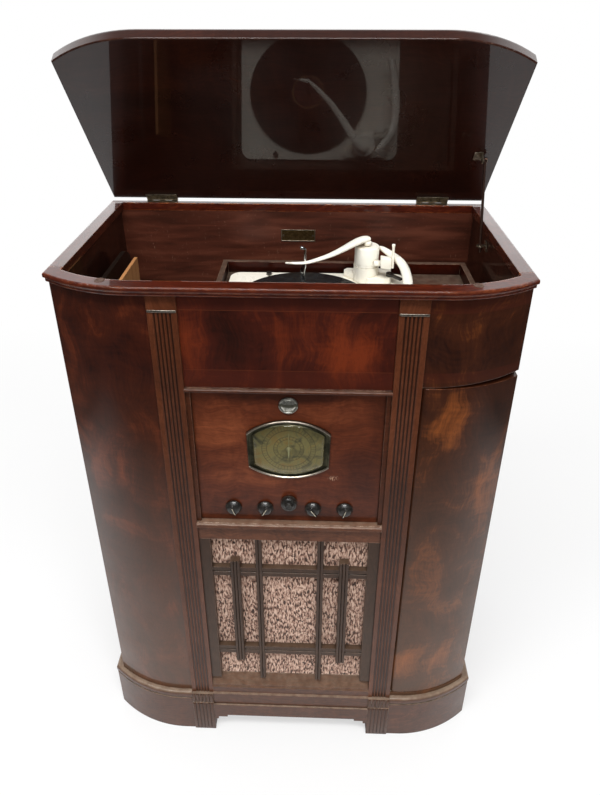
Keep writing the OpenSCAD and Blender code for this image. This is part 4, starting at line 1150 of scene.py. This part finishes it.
    def done(
        self,
        finish: object,
        body: str,
        slot: str,
        replaces: tuple[str, ...] = (),
        angle: float = 35,
    ) -> bpy.types.Object:
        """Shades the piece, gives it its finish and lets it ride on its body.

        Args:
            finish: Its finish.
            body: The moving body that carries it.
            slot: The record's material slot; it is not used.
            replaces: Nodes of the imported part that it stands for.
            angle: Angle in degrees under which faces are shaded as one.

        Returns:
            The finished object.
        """
        self.close()
        bpy.ops.object.select_all(action="DESELECT")
        self.body.select_set(True)
        bpy.context.view_layer.objects.active = self.body
        bpy.ops.object.shade_smooth_by_angle(angle=math.radians(angle))
        self.body.data.materials.clear()
        self.body.data.materials.append(material_of(finish))
        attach(self.body, body)
        if replaces:
            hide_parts(*replaces)
        log.info("%s: %d faces", self.body.name, len(self.body.data.polygons))
        return self.body


def screw_head(name: str, radius: float) -> Workpiece:
    """Turns a slotted, raised countersunk screw head that stands on the origin.

    Args:
        name: The piece's name.
        radius: Radius of the head in millimetres.

    Returns:
        The piece.
    """
    head = Workpiece.turned(
        name,
        [
            (radius, -0.5), (radius, 0.0), (radius * 0.9, 0.08), (radius * 0.5, 0.1),
            (radius * 0.1, 0.1),
        ],
        segments=16,
    )
    return head.slotted(radius * 0.3, 0.45, Vector((0, 0, 1)))


# ---- Sub-assemblies ------------------------------------------------------------


@dataclass
class FrontTrim:
    """The nickel strips at the tops of the pilasters and the plain round badge."""

    strip_z: float = 1059.0
    strip_height: float = 4.0
    pilaster_inner: float = 168.0
    pilaster_outer: float = 214.0
    badge_z: float = 884.0
    badge_radius: float = 16.0
    fascia_y: float = 10.0

    def build(self) -> None:
        """Makes the strips and the badge."""
        for side, name in ((-1, "strip_left"), (1, "strip_right")):
            ends = sorted((side * self.pilaster_inner, side * self.pilaster_outer))
            strip = Workpiece.bar(
                name,
                spot(ends[0] + 0.4, -1.6, self.strip_z),
                spot(ends[1] - 0.4, 0.6, self.strip_z + self.strip_height),
            )
            strip.soften(0.9, 3).done(NICKEL, "cabinet", "steel")
        r = self.badge_radius
        badge = Workpiece.turned(
            "badge",
            [
                (r, 0.0), (r, 2.2), (r - 0.8, 3.0), (r - 2.2, 3.0), (r - 2.8, 2.2),
                (r - 3.6, 2.2), (r - 4.4, 3.0), (r * 0.5, 4.4), (r * 0.2, 4.8),
                (0.4, 4.9),
            ],
            spot(0, self.fascia_y, self.badge_z),
            FACING_FRONT,
            64,
        )
        badge.done(BADGE, "cabinet", "bronze")


@dataclass
class DialWindow:
    """The dark surround of the dial with its bright beads, painted as highlights, and
    the domed glass.
    """

    centre_z: float = 790.0
    top_arc: tuple[float, float] = (-44.9, 108.4)  # mm, its centre and its radius
    low_arc: tuple[float, float] = (53.0, 113.0)
    side: tuple[float, float] = (70.0, 0.0286)  # mm, at mid height, and its lean
    fascia_y: float = 10.0
    points: int = 144
    bead_highlight_ends: tuple[float, float] = (754.5, 826.0)  # mm, where the painted highlights on the bright beads end
    pins: tuple[tuple[float, float], ...] = ((70.0, 825.0), (67.6, 755.5))

    def outline(self, grow: float) -> list[tuple[float, float]]:
        """Finds the outline of the surround, grown by a distance.

        Args:
            grow: Distance outward in millimetres.

        Returns:
            Sideways place and height of each point, from the right round.
        """
        found = []
        for i in range(self.points):
            turn = 2 * math.pi * i / self.points
            across, up = math.cos(turn), math.sin(turn)
            reach = []
            for offset, radius in (self.top_arc, self.low_arc):
                wide = radius + grow
                along = offset * up
                reach.append(along + math.sqrt(along**2 - offset**2 + wide**2))
            half, lean = self.side
            if abs(across) > 0.01:
                reach.append((half + grow) / (abs(across) - lean * up))
            length = min(reach)
            found.append((length * across, self.centre_z + length * up))
        return found

    def ringed(
        self, name: str, rings: Profile, filled: bool
    ) -> Workpiece:
        """Draws a frame or a dome, ring by ring, along the outline.

        Args:
            name: The piece's name.
            rings: Growth and depth of each ring, in millimetres.
            filled: Whether the last ring is closed.

        Returns:
            The piece.
        """
        bpy.ops.object.select_all(action="DESELECT")
        bpy.ops.mesh.primitive_circle_add(vertices=self.points, radius=0.1)
        piece = Workpiece(name).opened()
        shape = bmesh.from_edit_mesh(piece.body.data)
        shape.verts.ensure_lookup_table()
        order = sorted(shape.verts, key=lambda v: math.atan2(v.co.y, v.co.x) % math.tau)
        for vertex, (x, z) in zip(order, self.outline(rings[0][0])):
            vertex.co = spot(x, rings[0][1], z)
        bmesh.update_edit_mesh(piece.body.data)
        middle = spot(0, 0, self.centre_z)
        for grow, depth in rings[1:]:
            piece.extrude(ORIGIN)
            shape = bmesh.from_edit_mesh(piece.body.data)
            front = [v for v in shape.verts if v.select]
            front.sort(
                key=lambda v: math.atan2(v.co.z - middle.z, v.co.x - middle.x)
                % math.tau
            )
            for vertex, (x, z) in zip(front, self.outline(grow)):
                vertex.co = spot(x, depth, z)
            bmesh.update_edit_mesh(piece.body.data)
        if filled:
            bpy.ops.mesh.edge_face_add()
        return piece.sealed()

    def build(self) -> None:
        """Makes the surround, its corner pins, the glass and the needle."""
        surround = self.ringed(
            "dial_surround",
            [
                (0.0, self.fascia_y), (0.2, 7.4), (0.0, 6.2), (-0.7, 5.4), (-1.7, 5.2),
                (-2.5, 5.8), (-2.9, 7.2), (-3.6, 8.0), (-8.2, 8.2), (-8.8, 7.0),
                (-9.4, 6.6), (-10.0, 7.0), (-10.4, 9.4),
            ],
            False,
        )
        shown = surround.done(BLACKENED, "cabinet", "bronze", ("dial_escutcheon",), 50)
        # The front of the outer bead along the top and bottom arcs is silvered: a
        # painted highlight.
        shown.data.materials.append(material_of(SILVERED))
        low, high = self.bead_highlight_ends
        deep = spot(0, 7.3, 0).y
        for face in shown.data.polygons:
            x, z = face.center.x / MM, face.center.z / MM
            rim = math.hypot(x, z - self.centre_z - self.top_arc[0]) if z > high else 0
            rim = max(
                rim - self.top_arc[1],
                math.hypot(x, z - self.centre_z - self.low_arc[0]) - self.low_arc[1]
                if z < low
                else -99.0,
            )
            if (z > high or z < low) and rim > -3.0 and face.center.y < deep:
                face.material_index = 1
        glass = self.ringed(
            "domed_glass",
            [
                (-10.3, 8.9), (-10.5, 7.6), (-12.0, 6.4), (-15.0, 5.5), (-20.0, 4.9),
                (-28.0, 4.5), (-38.0, 4.3),
            ],
            True,
        )
        glass.done(GLASS, "cabinet", "glass", ("dial_glass",), 60)
        pin = Workpiece.turned(
            "surround_pins",
            [(1.5, 0.0), (1.5, 2.6), (1.0, 3.3), (0.2, 3.5)],
            tilt=FACING_FRONT,
            segments=14,
        )
        pin.copies(
            [
                Matrix.Translation(spot(side * x, 8.4, z))
                for side in (-1, 1)
                for x, z in self.pins
            ]
        ).done(SILVERED, "cabinet", "bronze")
        needle = Workpiece.bar(
            "dial_needle", spot(-2.2, 15.0, 771.0), spot(2.2, 15.5, 795.0)
        )
        needle.pick(lambda c, n: n.z < -0.9)
        needle.resize((0.2, 1.0, 1.0), spot(0, 15.2, 771.0))
        needle.soften(0.2, 1).done(NEEDLE_PAINT, "pointer", "brass")


@dataclass
class ControlKnobs:
    """The four pointer knobs and the tuning knob of the receiver."""

    outer_z: float = 657.5
    tuning_z: float = 672.7
    radius: float = 14.5
    back_y: float = 9.5
    # Name, sideways place and turn of each pointer from straight down, in degrees.
    pointers: tuple[tuple[str, float, float], ...] = (
        ("volume", -100.0, 20.0),
        ("tone", -43.0, -28.0),
        ("wave", 43.0, 34.0),
        ("selector", 100.0, -18.0),
    )

    def build(self) -> None:
        """Makes the five knobs."""
        for name, x, turn in self.pointers:
            self.pointer_knob(name, x, turn)
        r = self.radius
        tuning = Workpiece.turned(
            "tuning_grip",
            [
                (r - 1.0, 0.0), (r - 0.4, 1.5), (r - 0.4, 8.6), (r - 1.2, 10.0),
                (r - 2.6, 10.9), (r - 4.2, 11.2), (r - 4.7, 10.7), (r - 5.2, 11.2),
                (7.4, 11.8), (7.0, 14.2), (6.0, 15.0), (4.6, 15.0), (4.2, 14.5),
                (0.4, 14.5),
            ],
            spot(0, self.back_y, self.tuning_z),
            FACING_FRONT,
            56,
        )
        tuning.done(BLACK_KNOB, "tuning", "bakelite", ("tuning_knob",))

    def pointer_knob(self, name: str, x: float, turn: float) -> None:
        """Makes a skirted knob with a ridged grip and a pale line along the ridge.

        Args:
            name: The control that it turns.
            x: Its sideways place.
            turn: Turn of its pointer from straight down, in degrees.
        """
        r = self.radius
        seat = spot(x, self.back_y, self.outer_z)
        skirt = Workpiece.turned(
            f"{name}_grip",
            [
                (r - 0.8, 0.0), (r, 1.0), (r, 3.0), (r - 0.5, 3.8), (r - 3.4, 7.9),
                (r - 4.2, 8.6), (8.6, 9.2), (6.0, 9.6), (0.4, 9.7),
            ],
            seat,
            FACING_FRONT,
            48,
        )
        lay = (
            Matrix.Translation(seat)
            @ Matrix.Rotation(math.radians(-turn), 4, "Y")
            @ Matrix.Translation(-seat)
        )
        front = self.back_y - 12.0
        grip = Workpiece.bar(
            "grip",
            spot(x - 7.5, front, self.outer_z - 13.0),
            spot(x + 7.5, self.back_y - 2.0, self.outer_z + 11.0),
        )
        # The ridge narrows toward the front and again toward its pointing end.
        grip.pick(lambda c, n: n.y < -0.9)
        grip.resize((0.24, 1.0, 0.84), spot(x, front, self.outer_z - 2))
        grip.pick(lambda c, n: n.z < -0.5)
        grip.resize((0.45, 1.0, 1.0), spot(x, front, self.outer_z))
        grip.soften(0.8, 3, 20)
        grip.body.data.transform(lay)
        line = Workpiece.bar(
            f"{name}_line",
            spot(x - 0.5, front - 0.1, self.outer_z - 9.0),
            spot(x + 0.5, front + 0.6, self.outer_z + 6.0),
        )
        line.body.data.transform(lay)
        line.done(POINTER_PAINT, name, "cream_plastic")
        skirt.joined(grip).done(BLACK_KNOB, name, "bakelite", (f"{name}_knob",))


@dataclass
class ChangerArms:
    """The record changer's turret, its steadying arm and its curved pickup arm."""

    column: tuple[float, float] = (140.0, 286.0)
    steady_z: float = 1062.5
    pickup_root: Triple = (165.0, 296.1, 1046.4)
    spindle: Triple = (20.0, 168.0, 7.1)
    turret: Triple = (23.5, 1018.4, 39.0)  # radius, foot, height
    lug_low: Triple = (163.5, 246.0, 1024.0)
    lug_high: Triple = (183.5, 259.0, 1046.0)
    bracket_low: Triple = (152.0, 256.0, 1027.0)
    bracket_high: Triple = (167.0, 270.0, 1034.0)
    stick: tuple[float, float, float, float] = (186.0, 252.0, 1026.0, 1074.0)

    def build(self) -> None:
        """Makes the turret and the two arms."""
        self.turret_head()
        self.steadying_arm()
        self.pickup()

    def turret_head(self) -> None:
        """Turns the turret and adds its bracket, its lug and the lifting stick."""
        x, y = self.column
        r, foot, tall = self.turret
        head = Workpiece.turned(
            "turret",
            [
                (5.4, 0.0), (r - 0.4, 0.0), (r, 0.5), (r, 3.2), (r - 0.5, 3.5),
                (r - 0.5, 4.1), (r, 4.4), (r, tall - 2.2), (r - 0.7, tall - 0.7),
                (r - 2.4, tall), (r - 5.0, tall), (r - 5.6, tall - 0.6),
                (5.4, tall - 0.6),
            ],
            spot(x, y, foot),
            segments=72,
        )
        lug = Workpiece.bar("lug", spot(*self.lug_low), spot(*self.lug_high))
        lug.pick(lambda c, n: n.x < -0.9)
        bpy.ops.transform.translate(value=(0.0, 0.0, 3.0 * MM))
        lug.soften(1.4, 3)
        bracket = Workpiece.bar(
            "bracket", spot(*self.bracket_low), spot(*self.bracket_high)
        ).soften(1.0, 2)
        stick_x, stick_y, low, high = self.stick
        stick = Workpiece.turned(
            "stick",
            [
                (3.0, 0.0), (3.0, 8.0), (2.5, 20.0), (2.5, high - low - 6.0),
                (3.2, high - low - 4.0), (3.2, high - low - 1.0), (2.2, high - low),
            ],
            spot(stick_x, stick_y, low),
            segments=20,
        )
        head.joined(lug, bracket, stick).done(
            PLASTIC, "pickup_turret", "cream_plastic", ("pickup_turret",)
        )

    def steadying_arm(self) -> None:
        """Draws the arm that rests on the stack of records."""
        x, y = self.column
        z = self.steady_z
        tip_x = self.spindle[0] - 5
        tip_y = self.spindle[1] - self.spindle[2] / 2 - 8.5
        arm = Workpiece.swept(
            "steadying_arm",
            [
                (x + 6, y + 11, z + 5.6, 4.0), (x + 3, y + 9.5, z + 5.6, 8.4),
                (x - 6, y + 5, z + 5.9, 10.6), (x - 15, y - 4, z + 6.2, 10.4),
                (x - 30, y - 24, z + 6.7, 8.9), (x - 45, y - 47, z + 7.3, 7.9),
                (x - 60, y - 68, z + 7.9, 6.9), (x - 75, y - 87, z + 8.5, 6.0),
                (x - 90, y - 101, z + 9.0, 5.4),
                (tip_x + 16, tip_y + 10, z + 10.2, 4.6),
                (tip_x + 4, tip_y + 3, z + 11.2, 4.0),
                (tip_x - 12, tip_y + 1, z + 12.0, 3.6),
                (tip_x - 24, tip_y + 0.5, z + 12.5, 3.0),
                (tip_x - 26, tip_y + 0.5, z + 12.5, 1.6),
            ],
            0.6,
        ).smooth(2)
        boss = Workpiece.turned(
            "boss",
            [(5.4, -4.0), (7.0, -4.0), (7.6, -3.4), (7.6, 3.0), (5.0, 3.4)],
            spot(x, y, z),
            segments=40,
        )
        whole = arm.joined(boss)
        whole.done(PLASTIC, "steady_arm", "cream_plastic", ("steady_arm",), 50)

    def pickup(self) -> None:
        """Draws the pickup arm with its head."""
        x, y, z = self.pickup_root
        arm = Workpiece.swept(
            "curved_pickup",
            [
                (x - 1, y + 5, z + 1.8, 3.6), (x + 3, y + 1, z + 1.4, 6.4),
                (x + 10, y - 6, z - 0.2, 7.4), (x + 18, y - 15, z - 2.8, 8.2),
                (x + 27.5, y - 27, z - 5.3, 8.9), (x + 34.5, y - 39, z - 7.4, 9.2),
                (x + 38.8, y - 53, z - 9.3, 9.4), (x + 41.2, y - 72, z - 11.0, 9.4),
                (x + 41.6, y - 92, z - 12.5, 9.4), (x + 41.4, y - 112, z - 13.8, 9.4),
                (x + 38.6, y - 142, z - 15.3, 9.0), (x + 34.6, y - 168, z - 16.1, 8.5),
                (x + 31.4, y - 188, z - 16.6, 7.6), (x + 31.0, y - 191, z - 16.7, 4.5),
            ],
            0.7,
        ).smooth(2)
        head = Workpiece.bar(
            "head", spot(x + 24, y - 192, z - 26.3), spot(x + 40, y - 172, z - 16)
        ).soften(1.6, 3)
        whole = arm.joined(head)
        whole.done(PLASTIC, "pickup_arm", "cream_plastic", ("pickup_arm",), 50)


@dataclass
class FootReeds:
    """The short reeds on the collars and feet under the pilasters."""

    middle: float = 191.0
    pitch: float = 7.6
    count: int = 6
    rows: tuple[Triple, ...] = (
        (-5.0, 95.0, 121.0), (-7.0, 3.0, 92.5)
    )  # face, foot and head of each row, in millimetres

    def build(self) -> None:
        """Makes each row of reeds from one reed."""
        first = -(self.count - 1) / 2
        for (face, low, high), name in zip(self.rows, ("collar_reeds", "foot_reeds")):
            reed = Workpiece.bar(
                name, spot(-2.9, face - 1.7, low), spot(2.9, face + 0.8, high)
            ).soften(1.5, 4)
            places = [
                side * self.middle + (first + i) * self.pitch
                for side in (-1, 1)
                for i in range(self.count)
            ]
            reed.copies([Matrix.Translation((x * MM, 0, 0)) for x in places])
            reed.done(REED, "cabinet", "dark_wood")


@dataclass
class WellFittings:
    """The blank plate on the back wall and the two buffers on the rim."""

    plate_low: tuple[float, float] = (-31.0, 1025.0)
    plate_high: tuple[float, float] = (40.0, 1051.0)
    wall_y: float = 385.0
    buffer_x: float = 283.0
    buffer_y: float = 12.0
    rim_top: float = 1106.0
    # Radius and height of the rings of a buffer.
    buffer: Profile = (
        (8.0, 0.0), (8.0, 0.3), (7.2, 0.8), (5.0, 1.1), (4.4, 0.8), (1.0, 0.7),
    )

    def build(self) -> None:
        """Makes the plate with its frame and screws, and the buffers."""
        (x0, z0), (x1, z1) = self.plate_low, self.plate_high
        plate = Workpiece.bar(
            "blank_plate", spot(x0, self.wall_y - 1.0, z0), spot(x1, self.wall_y, z1)
        )
        plate.pick(lambda c, n: n.y < -0.9)
        plate.inset(1.6).inset(0.3, -0.5)
        plate.close()
        plate.soften(0.25, 2)
        shown = plate.done(BRASS, "cabinet", "brass")
        shown.data.materials.append(material_of(PLATE_FACE))
        inner = self.wall_y - 0.6
        for face in shown.data.polygons:
            if face.normal.y < -0.9 and face.center.y > spot(0, inner, 0).y - 0.0002:
                face.material_index = 1
        middle = (z0 + z1) / 2
        lay = Matrix.Rotation(RIGHT_ANGLE, 4, "X")
        screws = screw_head("plate_screws", 2.0)
        screws.copies(
            [
                Matrix.Translation(spot(x, self.wall_y - 0.8, middle)) @ lay
                for x in (x0 + 5, x1 - 5)
            ]
        ).done(BRASS, "cabinet", "brass")
        for side, name in ((-1, "buffer_left"), (1, "buffer_right")):
            buffer = Workpiece.turned(
                name,
                self.buffer,
                spot(side * self.buffer_x, self.buffer_y, self.rim_top - 0.1),
                segments=40,
            )
            buffer.done(FELT, "cabinet", "bakelite")


@dataclass
class HingeScrews:
    """Three screws in each leaf of the two butt hinges."""

    hinge_x: float = 277.0
    length: float = 63.5
    leaf_y: float = 392.0
    case_top: float = 1106.0
    hinge_pin: tuple[float, float] = (404.0, 1109.0)
    lid_under: float = 1106.3
    open_angle: float = 54.0
    spacing: float = 0.36  # of the leaf's length, from one screw to the next
    stagger: float = 2.5  # mm, how far the outer screws stand behind the middle one
    head: float = 2.4

    def build(self) -> None:
        """Makes the screws of the leaves on the case and of those on the lid."""
        case, lid = [], []
        pin = spot(0, *self.hinge_pin)
        lift = (
            Matrix.Translation(pin)
            @ Matrix.Rotation(-math.radians(self.open_angle), 4, "X")
            @ Matrix.Translation(-pin)
        )
        over = Matrix.Rotation(math.pi, 4, "X")
        for side in (-1, 1):
            for step in (-1, 0, 1):
                x = side * self.hinge_x + step * self.length * self.spacing
                y = self.leaf_y + (self.stagger if step else 0.0)
                case.append(Matrix.Translation(spot(x, y, self.case_top)))
                lid.append(lift @ Matrix.Translation(spot(x, y, self.lid_under)) @ over)
        for name, places, body in (
            ("case_hinge_screws", case, "cabinet"), ("lid_hinge_screws", lid, "lid")
        ):
            screw_head(name, self.head).copies(places).done(BRASS, body, "brass")


@dataclass
class GrilleSheet:
    """The loudspeaker cloth, stretched behind the fret."""

    half_width: float = 167.5
    low: float = 170.5
    high: float = 580.5
    face_y: float = 16.55
    slack: float = 0.25

    def build(self) -> None:
        """Makes the cloth as a sheet with a slight slack."""
        bpy.ops.object.select_all(action="DESELECT")
        bpy.ops.mesh.primitive_grid_add(
            x_subdivisions=48,
            y_subdivisions=64,
            size=1.0,
            location=spot(0, self.face_y, (self.low + self.high) / 2),
            rotation=FACING_FRONT,
        )
        bpy.context.object.scale = (
            2 * self.half_width * MM, (self.high - self.low) * MM, 1.0
        )
        cloth = Workpiece("loudspeaker_cloth")
        centre = spot(0, self.face_y, 0).y
        for point in cloth.body.data.vertices:
            across = math.sin(point.co.x * 31.0 + math.sin(point.co.z * 13.0))
            down = math.sin(point.co.z * 23.0 + 0.7)
            point.co.y = centre + self.slack * MM * across * down
        shown = cloth.done(CLOTH, "cabinet", "cloth", ("grille_cloth",))


@dataclass
class Studio:
    """The pale floor, the even light and the camera at the photograph's place."""

    eye: Triple = (42.0, -817.5, 1500.0)
    down: float = 26.0
    turn: float = 1.845
    focal: float = 27.93
    shift: tuple[float, float] = (0.003, -0.136)
    ambient: float = 0.68
    paper_front: float = 1.15  # metres in front of the object, where the paper is dim
    paper_bright: float = 0.45  # metres in front of it, up to where it is bright
    paper_side: float = 1.36  # metres of paper beside its middle
    paper_fade: float = 0.15  # metres over which its sides fade

    def build(self) -> None:
        """Makes the camera, the lamps, the world and the floor."""
        self.camera()
        self.lamps()
        self.world()
        self.floor()

    def camera(self) -> None:
        """Places the camera."""
        lens = bpy.data.cameras.new("camera")
        lens.lens = self.focal
        lens.sensor_width = 36.0
        lens.shift_x, lens.shift_y = self.shift
        lens.clip_end = 100.0
        eye = bpy.data.objects.new("camera", lens)
        eye.location = spot(*self.eye)
        eye.rotation_euler = (
            math.radians(90 - self.down), 0.0, math.radians(self.turn)
        )
        bpy.context.scene.collection.objects.link(eye)
        bpy.context.scene.camera = eye

    def lamps(self) -> None:
        """Hangs a long soft box over the object and a wide fill before it."""
        for name, place, size, power, shines in (
            ("soft box", (-0.2, -1.2, 3.1), (2.2, 0.5), 72.0, True),
            ("front fill", (0.9, -3.0, 1.9), (1.8, 1.8), 18.0, False),
        ):
            light = bpy.data.lights.new(name, "AREA")
            light.shape = "RECTANGLE"
            light.size, light.size_y = size
            light.energy = power
            lamp = bpy.data.objects.new(name, light)
            lamp.location = place
            toward = Vector((0.0, 0.0, 0.7)) - Vector(place)
            lamp.rotation_euler = toward.to_track_quat("-Z", "Y").to_euler()
            lamp.visible_camera = False
            lamp.visible_glossy = shines
            bpy.context.scene.collection.objects.link(lamp)

    def world(self) -> None:
        """Sets white surroundings, with the dim room in front for gloss."""
        world = bpy.data.worlds.new("studio")
        bpy.context.scene.world = world
        world.use_nodes = True
        f = NodeBench(world.node_tree)
        way = f.add("TexCoord", out="Generated")
        depth, height = (f.add("SeparateXYZ", (way,), i) for i in (1, 2))
        gloss = f.add("MapRange", (depth, 0.0, 0.5, 0.04, 1.7))
        overhead = f.add("MapRange", (height, 0.7, 0.85, 1.0, 0.3))
        gloss = f.add("Math", (gloss, overhead), operation="MULTIPLY")
        glossy, camera, through = (
            f.add("LightPath", out=f"Is {ray} Ray")
            for ray in ("Glossy", "Camera", "Transmission")
        )
        strength = f.add("Mix", {0: glossy, 2: self.ambient, 3: gloss})
        seen = f.add("Math", (camera, through), **LARGER)
        strength = f.add("Mix", {0: seen, 2: strength, 3: 1.0})
        f.add("OutputWorld", (f.add("Background", ("#ffffff", strength)),))

    def floor(self) -> None:
        """Lays the pale paper, which the camera sees as white with a soft shadow."""
        bpy.ops.object.select_all(action="DESELECT")
        bpy.ops.mesh.primitive_plane_add(size=14.0, location=(0, 0, -0.0005))
        ground = bpy.context.object
        ground.name = "floor"
        bpy.ops.object.transform_apply(location=True, rotation=True, scale=True)
        f = Finish("white paper floor")
        camera = f.add("LightPath", out="Is Camera Ray")
        near = f.add("MapRange", (f.axes[1], -self.paper_front, -self.paper_bright))
        off = f.add("Math", (f.axes[0],), operation="ABSOLUTE")
        outer, inner = (self.paper_side + side * self.paper_fade for side in (1, -1))
        beside = f.add("MapRange", (off, outer, inner))
        paper = f.add("Math", (near, beside), **TIMES)
        paper = f.add("Math", (camera, paper), **LARGER)
        tone = f.add("Mix", {0: paper, 2: 0.05, 3: 0.86})
        grey = f.add("CombineColor", (tone, tone, tone))
        matt = f.add("BsdfDiffuse", {"Color": grey})
        lit = f.add("Emission", {"Color": "#ffffff", "Strength": 1.0})
        far = f.add("MapRange", (f.axes[1], 0.2, 1.6, 0.55, 1.0))
        far = f.add("Math", (camera, far), **TIMES)
        ground.data.materials.append(f.closed(f.add("MixShader", (far, matt, lit))))


def dress_nodes() -> None:
    """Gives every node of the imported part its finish."""
    for finish, names in NODE_FINISHES.items():
        for name in names.split():
            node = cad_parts[name]
            node.data.materials.clear()
            node.data.materials.append(material_of(finish))
    bare = set(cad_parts) - set(" ".join(NODE_FINISHES.values()).split())
    if bare:
        log.warning("nodes with no finish: %s", sorted(bare))


def main() -> None:
    """Builds the dressed model in order."""
    logging.basicConfig(level=logging.INFO, format="%(name)s: %(message)s")
    bpy.context.scene.view_settings.view_transform = "Standard"
    Studio().build()
    dress_nodes()
    for part in (
        FrontTrim(),
        DialWindow(),
        ControlKnobs(),
        ChangerArms(),
        FootReeds(),
        WellFittings(),
        HingeScrews(),
        GrilleSheet(),
    ):
        part.build()


if __name__ == "__main__":
    main()
